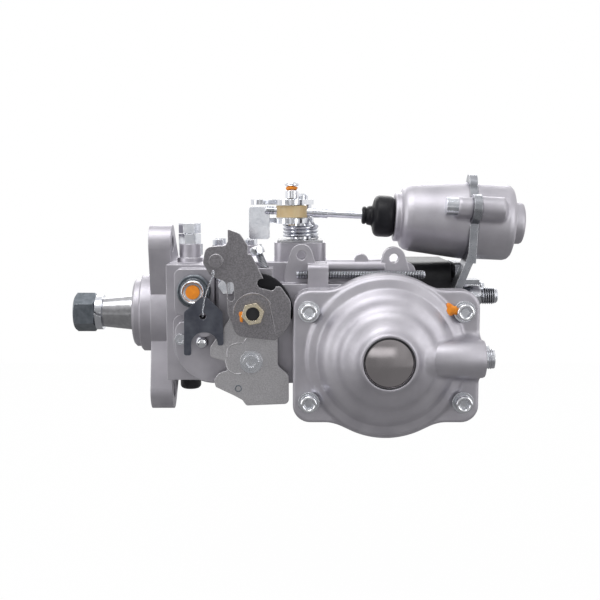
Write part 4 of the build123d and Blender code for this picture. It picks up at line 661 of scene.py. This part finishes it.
# %% Idle stop screw, stop pin and the boost stub
stop_foot = Vector((81.8, -71.0, 31.0)) * MM
stop_line = Vector((-9.5, 0.0, 21.0)).normalized()
stop_length = 16.0
stop_thread = threaded_skin(
    "stop_screw_thread", stop_foot, stop_line, stop_length, crest=2.7, pitch=1.0, finish=thread_zinc
)
stop_hexagon_foot = stop_foot + stop_line * stop_length * MM
stop_hexagon = hexagon_piece("stop_screw_hexagon", stop_hexagon_foot, stop_line, length=5.5, flats=8.4)
pin_x, pin_z, pin_low, pin_high, pin_radius = 39.5, -9.5, 77.0, 87.5, 4.1
pin_shoulder = pin_high - pin_radius
pin_profile = [(pin_low, pin_radius), (pin_shoulder, pin_radius)] + dome(pin_shoulder, pin_radius, pin_radius)
stop_pin = turned_piece("stop_pin", Vector((pin_x, 0.0, pin_z)) * MM, -along_y, pin_profile, bright)
for piece in (full_load, stop_thread, stop_hexagon, stop_pin):
    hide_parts("adjusting_screws")
stub_start = Vector((215.2, -103.0, -17.0)) * MM
threaded_skin("boost_stub_thread", stub_start, along_x, length=5.2, crest=6.2, pitch=1.2, finish=thread_zinc)

# %% [markdown]
# ## The line of the cold-start actuator
# The actuator's rod, boot and body share one line, which dips three degrees to the right. The
# rod's free end carries a short dark thread. The boot is moulded rubber: a narrow lip grips the
# rod, flares out to a drum and tucks in again at the casting. It is turned with round corners
# and takes the place of the plain CAD boot.

# %% Rod thread and boot
dip = math.radians(3.0)
rod_line = Vector((math.cos(dip), 0.0, -math.sin(dip)))
swivel_centre = Vector((96.0, -36.0, 72.2))
tip_before_swivel, boot_after_swivel = 17.6, 47.1
rod_tip = (swivel_centre - rod_line * tip_before_swivel) * MM
threaded_skin(
    "rod_end_thread", rod_tip, rod_line, length=6.6, crest=2.9, pitch=1.0, finish=dark_zinc, body="rod"
)
boot_start = (swivel_centre + rod_line * boot_after_swivel) * MM
boot_profile = [
    (0.2, 3.0), (0.0, 4.6), (0.3, 5.5), (1.0, 5.9), (2.2, 5.9), (2.6, 5.3), (3.1, 5.3), (3.5, 6.1),
    (5.2, 6.5), (6.3, 6.7), (6.9, 7.6), (7.3, 9.4), (7.9, 11.4), (8.9, 12.9), (10.2, 13.6), (11.6, 13.85),
    (17.2, 13.85), (18.9, 13.6), (20.3, 12.9), (21.2, 11.8), (21.5, 10.6), (21.5, 8.0),
]
rounded_boot = turned_piece(
    "rounded_boot", boot_start, rod_line, boot_profile, rubber, None, "black_rubber", sharp=75.0,
    closed_ends=False,
)
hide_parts("boot")
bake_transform(rounded_boot)
print("boot rings:", len(boot_profile))

# %% [markdown]
# ## The actuator's two castings
# Each half is a cup whose screw lugs grow out of its side. A ring of points around the line is
# pushed out to the body's radius or, toward a lug, to the lug's round, with a soft maximum
# between the two. That gives the blends that a casting has and a drawing only names.

# %% Soft maximum, a fillet between two heights
def soft_max(first, second, blend):
    overlap = max(blend - abs(first - second), 0.0) / blend
    return max(first, second) + overlap * overlap * blend / 4


def soft_min(first, second, blend):
    return -soft_max(-first, -second, blend)


lug_flank = 2.5


def round_reach(turn, distance, angle, radius):
    away = 2.0 * math.pi * turn - angle
    aside = abs(distance * math.sin(away))
    if math.cos(away) <= 0.0:
        return 0.0
    if aside < radius:
        return distance * math.cos(away) + math.sqrt(radius**2 - aside**2)
    return distance * math.cos(away) - lug_flank * (aside - radius)


print("soft_max(1, 1, 1) =", soft_max(1.0, 1.0, 1.0))

# %% Body and lugs in one skin
lug_side, lug_up = 28.0, 9.0
lug_distance = math.hypot(lug_side, lug_up)
lug_angles = (math.atan2(-lug_up, lug_side), math.atan2(lug_up, -lug_side))
lug_end_slope, lug_blend, casting_points = 3.0, 2.5, 180
swivel_metres = swivel_centre * MM


def lugged_casting(name, stations, lug_radius, lug_start, lug_end, node):
    rings = []
    for station, radius in stations:
        outside = max(lug_start - station, station - lug_end, 0.0)

        def reach(turn):
            lugs = max(round_reach(turn, lug_distance, angle, lug_radius) for angle in lug_angles)
            return soft_max(radius, lugs - lug_end_slope * outside, lug_blend) * MM

        centre = swivel_metres + rod_line * station * MM
        rings.append(ring_points(centre, rod_line, reach, casting_points))
    casting = finished_piece(name, ring_skin(rings), die_cast, "housing", sharp=60.0)
    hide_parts(node)


def refined(line, step):
    finer = []
    for (s0, r0), (s1, r1) in zip(line, line[1:]):
        parts = max(1, round(math.hypot(s1 - s0, r1 - r0) / step))
        finer += [(s0 + (s1 - s0) * i / parts, r0 + (r1 - r0) * i / parts) for i in range(parts)]
    return finer + [line[-1]]


print("lug distance, mm:", round(lug_distance, 1))

# %% Front cup and rear cup
neck_start, front_start, strap_start, rear_start, rear_end, cap_end = 68.6, 72.6, 116.0, 121.4, 147.2, 154.9
front_lug, front_lug_length, rear_lug, rear_lug_length, ring_step = 6.6, 9.0, 7.6, 15.0, 0.8
front_line = [
    (neck_start, 4.0), (neck_start, 15.6), (neck_start + 0.6, 16.3), (front_start - 0.2, 16.3),
    (front_start, 17.4), (front_start + 0.9, 19.6), (front_start + 3.0, 21.3), (front_start + 6.5, 22.3),
    (strap_start - 3.0, 25.6), (strap_start, 25.8),
]
rear_line = [
    (rear_start, 25.4), (rear_end - 4.6, 25.2), (rear_end - 2.2, 24.5), (rear_end - 0.7, 23.0),
    (rear_end, 20.8), (rear_end, 14.8), (rear_end + 0.5, 14.1), (cap_end - 1.6, 13.8),
    (cap_end - 0.5, 13.2), (cap_end, 12.0), (cap_end, 6.2), (cap_end - 0.8, 5.6), (cap_end - 0.8, 0.6),
]
front_rings, rear_rings = refined(front_line, ring_step), refined(rear_line, ring_step)
lugged_casting(
    "actuator_front_cup", front_rings, front_lug, strap_start - front_lug_length, strap_start, "actuator_front"
)
lugged_casting(
    "actuator_rear_cup", rear_rings, rear_lug, rear_start, rear_start + rear_lug_length, "actuator_rear"
)
print("actuator cups:", len(front_rings), len(rear_rings), "rings")

# %% [markdown]
# ## The fuel inlet
# The inlet is a union with a dark ring under a bright sealing collar, closed by an orange plug
# for transport. Two turned skins stand for the CAD union.

# %% Dark ring and bright collar
inlet_face = Vector((34.0, -73.0, 22.3)) * MM
ring_profile = [
    (0.0, 8.0), (0.0, 10.6), (6.8, 10.6), (7.6, 10.1), (7.7, 9.4), (7.2, 9.0), (7.2, 8.4), (8.4, 8.2),
    (8.4, 7.0),
]
collar_profile = [
    (-5.5, 4.5), (-5.5, 7.9), (0.0, 7.9), (6.0, 7.9), (8.3, 7.5), (12.2, 7.4), (12.8, 7.1), (13.0, 6.7),
    (12.7, 6.3), (12.0, 5.9), (11.6, 4.7), (11.6, 4.45), (-5.5, 4.45),
]
inlet_ring = turned_piece(
    "inlet_dark_ring", inlet_face, -along_y, ring_profile, dark_zinc, closed_ends=False
)
inlet_collar = turned_piece(
    "inlet_bright_collar", inlet_face, -along_y, collar_profile, zinc, closed_ends=False
)
for piece in (inlet_ring, inlet_collar):
    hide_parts("fuel_inlet_union")
print("inlet:", inlet_ring.name, inlet_collar.name)

# %% [markdown]
# ## The twisted sealing wire
# Two soft steel strands are twisted together, run from the small stud up to the lever's edge
# and down to the tag's hole. A smooth path is sampled first, then each strand winds around it
# on its own side.

# %% Smooth path through a few points
def smooth_path(knots, steps):
    padded = [knots[0] * 2 - knots[1], *knots, knots[-1] * 2 - knots[-2]]
    path = []
    for a, b, c, d in zip(padded, padded[1:], padded[2:], padded[3:]):
        for step in range(steps):
            t = step / steps
            bend = (2 * a - 5 * b + 4 * c - d) * t**2 + (3 * b - a - 3 * c + d) * t**3
            path.append(0.5 * (2 * b + (c - a) * t + bend))
    path.append(knots[-1])
    return path


def wire_piece(name, points, thickness, finish, body):
    curve = bpy.data.curves.new(name, "CURVE")
    curve.dimensions = "3D"
    curve.bevel_depth = thickness / 2 * MM
    curve.bevel_resolution = 3
    curve.use_fill_caps = True
    line = curve.splines.new("POLY")
    line.points.add(len(points) - 1)
    for place, point in zip(line.points, points):
        place.co = (*point, 1.0)
    curve.materials.append(finish)
    piece = bpy.data.objects.new(name, curve)
    bpy.context.collection.objects.link(piece)
    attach(piece, body)
    return piece


print("smooth_path and wire_piece are ready")

# %% Two strands
wire_knots = [
    (54.5, -83.4, 28.0), (50.8, -84.3, 29.5), (48.2, -90.5, 32.5), (47.4, -97.9, 35.0),
    (48.6, -98.6, 37.2), (48.4, -98.7, 34.6), (46.2, -97.0, 29.6), (43.6, -94.0, 23.2),
    (41.8, -91.6, 17.0), (40.9, -90.8, 12.0), (40.8, -90.4, 9.2), (40.8, -88.4, 7.7),
]
wire_path = smooth_path([Vector(knot) * MM for knot in wire_knots], 16)
twists_per_point, strand_offset, strand_thickness = 0.09, 0.3, 0.5
for side in (0, 1):
    strand = []
    for i, point in enumerate(wire_path):
        before, after = wire_path[max(i - 1, 0)], wire_path[min(i + 1, len(wire_path) - 1)]
        aside, other = across((after - before).normalized())
        turn = 2 * math.pi * (i * twists_per_point + side / 2)
        strand.append(point + (aside * math.cos(turn) + other * math.sin(turn)) * strand_offset * MM)
    piece = wire_piece(f"sealing_wire_{side + 1}", strand, strand_thickness, zinc, "housing")
    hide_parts("tag_wire")
print("wire points:", len(wire_path))

# %% [markdown]
# ## Pressed ribs and the rim of the polished disc
# The lever and the bracket are stiffened by pressed ribs: low rounded ridges. Each is a wire
# sunk for most of its thickness into the plate, so only its crown shows. The polished disc sits
# in a dark seat, drawn by a thin dark ring.

# %% Ribs on the lever and on the bracket
def arc_points(centre, radius, first, last, y, steps=40):
    points = []
    for step in range(steps + 1):
        turn = math.radians(first + (last - first) * step / steps)
        place = Vector((centre[0] + radius * math.cos(turn), y, centre[1] + radius * math.sin(turn)))
        points.append(place * MM)
    return points


def line_points(line, y):
    return smooth_path([Vector((x, y, z)) * MM for x, z in line], 8)


throttle_centre, boost_centre = (72.6, 10.6), (155.0, -17.0)
lever_front, bracket_front, disc_front = -97.0, -86.5, -121.0
lever_line = [(82.0, 18.6), (84.4, 8.0), (86.4, -2.6)]
upper_curve = [
    (55.4, -18.4), (55.6, -14.6), (57.6, -11.4), (61.0, -10.0), (65.0, -9.6), (67.4, -7.4), (68.3, -5.2)
]
lever_line_path = line_points(lever_line, lever_front + 0.3)
upper_path = line_points(upper_curve, bracket_front + 0.25)
lever_arc = arc_points(throttle_centre, 12.2, 28.0, 188.0, lever_front + 0.25)
lower_arc = arc_points((62.0, -22.0), 7.4, 165.0, 290.0, bracket_front + 0.25)
dimple_ring = arc_points((62.5, -38.6), 1.9, 0.0, 360.0, bracket_front + 0.2)
seat_ring = arc_points(boost_centre, 15.3, 0.0, 360.0, disc_front, steps=96)
for name, points, thickness, finish, body, slot in (
    ("lever_rib_arc", lever_arc, 1.1, plate, "throttle", "lever_steel"),
    ("lever_rib_line", lever_line_path, 1.0, plate, "throttle", "lever_steel"),
    ("bracket_rib_upper", upper_path, 1.1, pale_plate, "housing", "lever_steel"),
    ("bracket_rib_lower", lower_arc, 0.9, pale_plate, "housing", "lever_steel"),
    ("bracket_dimple", dimple_ring, 0.9, dark_zinc, "housing", "lever_steel"),
    ("disc_seat", seat_ring, 0.8, black_head, "housing", "dark_head"),
):
    wire_piece(name, points, thickness, finish, body)

# %% [markdown]
# ## Painted shade behind the lever
# Beside the throttle lever's sector the cover lies in deep shade. A low black ring around the
# shaft, in front of the pad, is that shade painted in as a part: it shows in the lever's cut-out.

# %% A sector of a ring
def ring_sector(name, centre, section, first, last, finish, body, steps=60):
    shape = bmesh.new()
    rows = []
    for step in range(steps + 1):
        turn = math.radians(first + (last - first) * step / steps)
        row = []
        for radius, y in section:
            place = Vector((centre[0] + radius * math.cos(turn), y, centre[1] + radius * math.sin(turn)))
            row.append(shape.verts.new(place * MM))
        rows.append(row)
    for first_row, second_row in zip(rows, rows[1:]):
        for k in range(len(first_row)):
            n = (k + 1) % len(first_row)
            shape.faces.new((first_row[k], first_row[n], second_row[n], second_row[k]))
    shape.faces.new(rows[0])
    shape.faces.new(rows[-1])
    finished_piece(name, shape, finish, body)


# The black ring sector is painted shade: a dark piece set where the cover only lies in shade.
shade_ring_inner, shade_ring_outer, shade_ring_back, shade_ring_front = 15.0, 24.4, -84.0, -88.0
shade_ring_section = (
    (shade_ring_inner, shade_ring_back), (shade_ring_inner, shade_ring_front), (shade_ring_outer - 1.2, shade_ring_front),
    (shade_ring_outer - 0.3, shade_ring_front + 0.4), (shade_ring_outer, shade_ring_front + 1.4), (shade_ring_outer, shade_ring_back),
)
ring_sector("lever_painted_shade", throttle_centre, shade_ring_section, -12.0, 100.0, rubber, "housing")
print("lever pocket made")

# %% [markdown]
# ## The inspector's paint
# A factory seals adjusted screws with a dab of orange paint. Each dab is a flattened drop whose
# outline is pushed in and out by a few waves, so that no two look alike.

# %% Dabs of paint
broad_wave, narrow_wave, rough_wave = 0.16, 0.10, 0.05


def paint_dab(name, centre, half_sizes, seed, body):
    half_x, half_y, half_z = half_sizes
    shape = bmesh.new()
    bmesh.ops.create_icosphere(shape, subdivisions=4, radius=1.0)
    for vert in shape.verts:
        angle = math.atan2(vert.co.z, vert.co.x)
        wave = 1.0 + broad_wave * math.sin(3 * angle + seed) + narrow_wave * math.sin(5 * angle + 2.3 * seed)
        wave += rough_wave * math.sin(9 * angle + seed + 4.0 * vert.co.y)
        drop = Vector((vert.co.x * half_x * wave, vert.co.y * half_y, vert.co.z * half_z * wave))
        vert.co = (Vector(centre) + drop) * MM
    finished_piece(name, shape, orange, body, sharp=80.0)


paint_dab("paint_throttle_nut", (65.4, -97.1, 8.6), (1.5, 0.6, 3.4), 0.4, "throttle")
paint_dab("paint_boost_screw", (194.6, -97.6, 12.4), (4.2, 1.6, 4.0), 1.9, "housing")
paint_dab("paint_clamp_screw", (95.8, -36.6, 88.0), (3.9, 3.6, 1.9), 2.7, "rod")

# %% [markdown]
# ## The torsion spring's end
# The coil's upper end turns up and hooks over the lower lever plate. It rides with the lever.

# %% Spring hook
hook_knots = [
    (112.9, -17.6, 61.2), (113.0, -20.6, 62.2), (111.2, -24.4, 63.0), (109.6, -26.4, 65.0),
    (108.6, -25.8, 68.4), (108.2, -23.6, 69.0),
]
hook_path = smooth_path([Vector(knot) * MM for knot in hook_knots], 10)
wire_piece("spring_hook", hook_path, 2.2, zinc, "start")
print("spring hook points:", len(hook_path))

# %% [markdown]
# ## The boost cover, cast in one smooth piece
# The largest casting in view has no sharp step anywhere: its rings, its hose boss and its four
# ears flow into each other. Rings of points are laid around its axis. Each ring follows the
# stepped profile, whose corners are cut twice to round them, and the hose boss is blended in
# with a soft maximum, which is what a fillet is. The skin stands for the CAD cover.

# %% The stepped profile: radius and height in front of the shaft, in millimetres
boost_x, boost_z = boost_centre
cover_back, plate_top = 90.2, 96.2
dome_corners = [
    (15.4, 118.0), (15.4, 121.4), (17.3, 121.3), (19.8, 117.0), (23.6, 114.6), (28.6, 112.4), (32.0, 108.0),
    (38.2, 105.6), (41.8, 101.2), (43.0, 99.8),
]
foot_radius, foot_height = dome_corners[-1]


def cut_corners(line, times):
    for _ in range(times):
        finer = [line[0]]
        for (r0, h0), (r1, h1) in zip(line, line[1:]):
            finer.append((0.75 * r0 + 0.25 * r1, 0.75 * h0 + 0.25 * h1))
            finer.append((0.25 * r0 + 0.75 * r1, 0.25 * h0 + 0.75 * h1))
        finer.append(line[-1])
        line = finer
    return line


dome_line = cut_corners(dome_corners, 2)
print("dome rings:", len(dome_line))

# %% The plate's outline: four ears that blend into the round body
plate_half_length, plate_half_width, plate_corner, body_radius, ear_blend = 58.0, 41.5, 10.8, 51.4, 5.0
longest_reach, halvings = 90.0, 24


def plate_reach(turn):
    along, up = abs(math.cos(turn)), abs(math.sin(turn))
    low, high = 0.0, longest_reach
    for _ in range(halvings):
        reach = (low + high) / 2
        past_x = reach * along - plate_half_length + plate_corner
        past_z = reach * up - plate_half_width + plate_corner
        to_plate = math.hypot(max(past_x, 0.0), max(past_z, 0.0)) + min(max(past_x, past_z), 0.0)
        inside = soft_min(to_plate - plate_corner, reach - body_radius, ear_blend) < 0.0
        low, high = (reach, high) if inside else (low, reach)
    return low


print("ear, top and side reach, mm:", [round(plate_reach(math.radians(a)), 1) for a in (32, 90, 0)])

# %% Height of the skin: skirt, hose boss and flat screw seats
boss_height, boss_radius, boss_start, boss_run_in = 103.0, 11.5, 17.0, 6.0
boss_side_slope, boss_end_slope, boss_blend = 2.4, 2.0, 3.5
screw_x, screw_z, seat_radius, seat_margin, seat_slope, seat_blend = 48.0, 28.5, 7.3, 4.0, 3.0, 0.4
skirt_edge, skirt_slope, skirt_edge_slope, skirt_blend = 49.0, 0.28, 1.5, 1.2


def skirt_height(radius):
    slope = foot_height - (radius - foot_radius) * skirt_slope
    drop = max(0.0, radius - skirt_edge) * skirt_edge_slope
    return soft_max(slope - drop, plate_top, skirt_blend)


def blended_height(height, radius, turn):
    x, z = radius * math.cos(turn), radius * math.sin(turn)
    if x > 0.0:
        beside = abs(z) / boss_radius
        crown = boss_height + boss_radius * math.sqrt(1.0 - beside**2) if beside < 1.0 else boss_height
        crown -= max(0.0, abs(z) - boss_radius) * boss_side_slope
        crown -= max(0.0, boss_start + boss_run_in - x) * boss_end_slope
        height = soft_max(height, crown, boss_blend)
    from_screw = math.hypot(abs(x) - screw_x, abs(z) - screw_z)
    if from_screw < seat_radius + seat_margin:
        seat = plate_top + max(0.0, from_screw - seat_radius) * seat_slope
        height = soft_min(height, seat, seat_blend)
    return height


print("skirt at 45, 50 and 55 mm:", [round(skirt_height(r), 2) for r in (45.0, 50.0, 55.0)])

# %% The cover's skin
edge_round, edge_rings, skirt_rings, around = 1.8, 6, 16, 360
cover_shape = bmesh.new()
columns = []
for k in range(around):
    turn = 2.0 * math.pi * k / around
    reach = plate_reach(turn)
    plate_edge_start = reach - edge_round
    skirt_width = plate_edge_start - foot_radius
    stretch = [foot_radius + skirt_width * s / skirt_rings for s in range(1, skirt_rings + 1)]
    line = [(r, blended_height(h, r, turn)) for r, h in dome_line]
    line += [(r, blended_height(skirt_height(r), r, turn)) for r in stretch]
    rim_height = line[-1][1]
    for s in range(1, edge_rings + 1):
        lean = math.pi / 2 * s / edge_rings
        edge_height = rim_height - edge_round * (1 - math.cos(lean))
        line.append((plate_edge_start + edge_round * math.sin(lean), edge_height))
    line = [(dome_line[0][0], cover_back)] + line + [(reach, cover_back)]
    column = []
    for radius, height in line:
        place = (boost_x + radius * math.cos(turn), -height, boost_z + radius * math.sin(turn))
        column.append(cover_shape.verts.new(Vector(place) * MM))
    columns.append(column)
for k in range(around):
    first, second = columns[k], columns[(k + 1) % around]
    for j in range(len(first)):
        n = (j + 1) % len(first)
        cover_shape.faces.new((first[j], first[n], second[n], second[j]))
cover_skin = finished_piece("boost_cover_skin", cover_shape, die_cast, "housing", sharp=60.0)
print("cover skin faces:", len(cover_skin.data.polygons))

# %% The hose boss, turned
boss_profile = [(0.0, 0.4), (0.0, 11.0), (1.5, 11.7), (41.2, 11.7), (42.4, 11.2), (42.7, 10.2), (42.7, 0.4)]
boss_foot = Vector((boost_x + boss_start, -boss_height, boost_z)) * MM
hose_boss = turned_piece("hose_boss", boss_foot, along_x, boss_profile, die_cast, slot="cast_aluminium")
for piece in (cover_skin, hose_boss):
    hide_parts("boost_cover")
print("boss end, mm:", boost_x + boss_start + boss_profile[-1][0])

# %% [markdown]
# ## Bright rims, a crowned disc and the clamp screw
# A socket screw's head is a barrel with a rounded rim, and that rim is what glitters. The disc
# is a pressed cup, a little crowned, so it mirrors a whole slice of the room. The clamp screw
# ends in a domed head over a neck that is sealed with orange paint.

# %% Rims of the four boost screws
head_front, rim_outer, rim_inner = 103.7, 5.3, 3.05
rim_profile = [
    (-3.0, rim_inner), (0.0, rim_inner), (0.35, rim_inner + 0.25), (0.6, rim_inner + 0.7),
    (0.65, rim_outer - 1.0), (0.5, rim_outer - 0.45), (0.1, rim_outer - 0.1), (-0.6, rim_outer),
    (-3.0, rim_outer),
]
for number, (side, up) in enumerate(((-1, 1), (1, 1), (-1, -1), (1, -1)), 1):
    centre = Vector((boost_x + side * screw_x, -head_front, boost_z + up * screw_z)) * MM
    turned_piece(f"boost_screw_rim_{number}", centre, -along_y, rim_profile, bright, closed_ends=False)

# %% Crowned disc
disc_radius, disc_edge, disc_crown, disc_round, disc_rings = 15.1, 119.9, 1.1, 0.3, 24
flat_radius = disc_radius - disc_round
disc_profile = [(disc_edge - 2.0, disc_radius), (disc_edge - disc_round, disc_radius), (disc_edge, flat_radius)]
for step in range(1, disc_rings + 1):
    radius = flat_radius * (1.0 - step / (disc_rings + 0.5))
    disc_profile.append((disc_edge + disc_crown * (1.0 - (radius / disc_radius) ** 2), radius))
disc_axis = Vector((boost_x, 0.0, boost_z)) * MM
disc = turned_piece("crowned_disc", disc_axis, -along_y, disc_profile, polished, sharp=60.0)
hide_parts("core_plug")
print("disc crown, mm:", disc_crown)

# %% Clamp screw: shank, round nut, orange neck and domed head
clamp_axis = Vector((96.0, -36.0, 0.0)) * MM
shank_low, nut_low, nut_high, neck_high, dome_high = 63.0, 80.6, 86.4, 89.3, 92.9
shank_radius, nut_radius, head_radius, head_edge = 2.4, 4.5, 4.9, 0.5
shank_profile = [(shank_low, 1.8), (shank_low + 0.6, shank_radius), (nut_high, shank_radius)]
clamp_shank = turned_piece("clamp_shank", clamp_axis, along_z, shank_profile, zinc, "rod")
nut_profile = [
    (nut_low, 4.0), (nut_low + 0.4, nut_radius), (nut_high - 0.5, nut_radius), (nut_high, 4.0), (nut_high, 2.5),
    (nut_low, 2.5),
]
clamp_nut = turned_piece("clamp_nut", clamp_axis, along_z, nut_profile, bright, "rod")
head_low = neck_high + head_edge
neck_profile = [(nut_high, shank_radius), (neck_high, shank_radius), (neck_high, nut_radius)]
head_profile = neck_profile + [(head_low, head_radius)] + dome(head_low, head_radius, dome_high - head_low)
clamp_dome = turned_piece("clamp_dome", clamp_axis, along_z, head_profile, bright, "rod")
for piece in (clamp_shank, clamp_nut, clamp_dome):
    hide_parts("clamp_screw")
print("clamp screw top, mm:", dome_high)
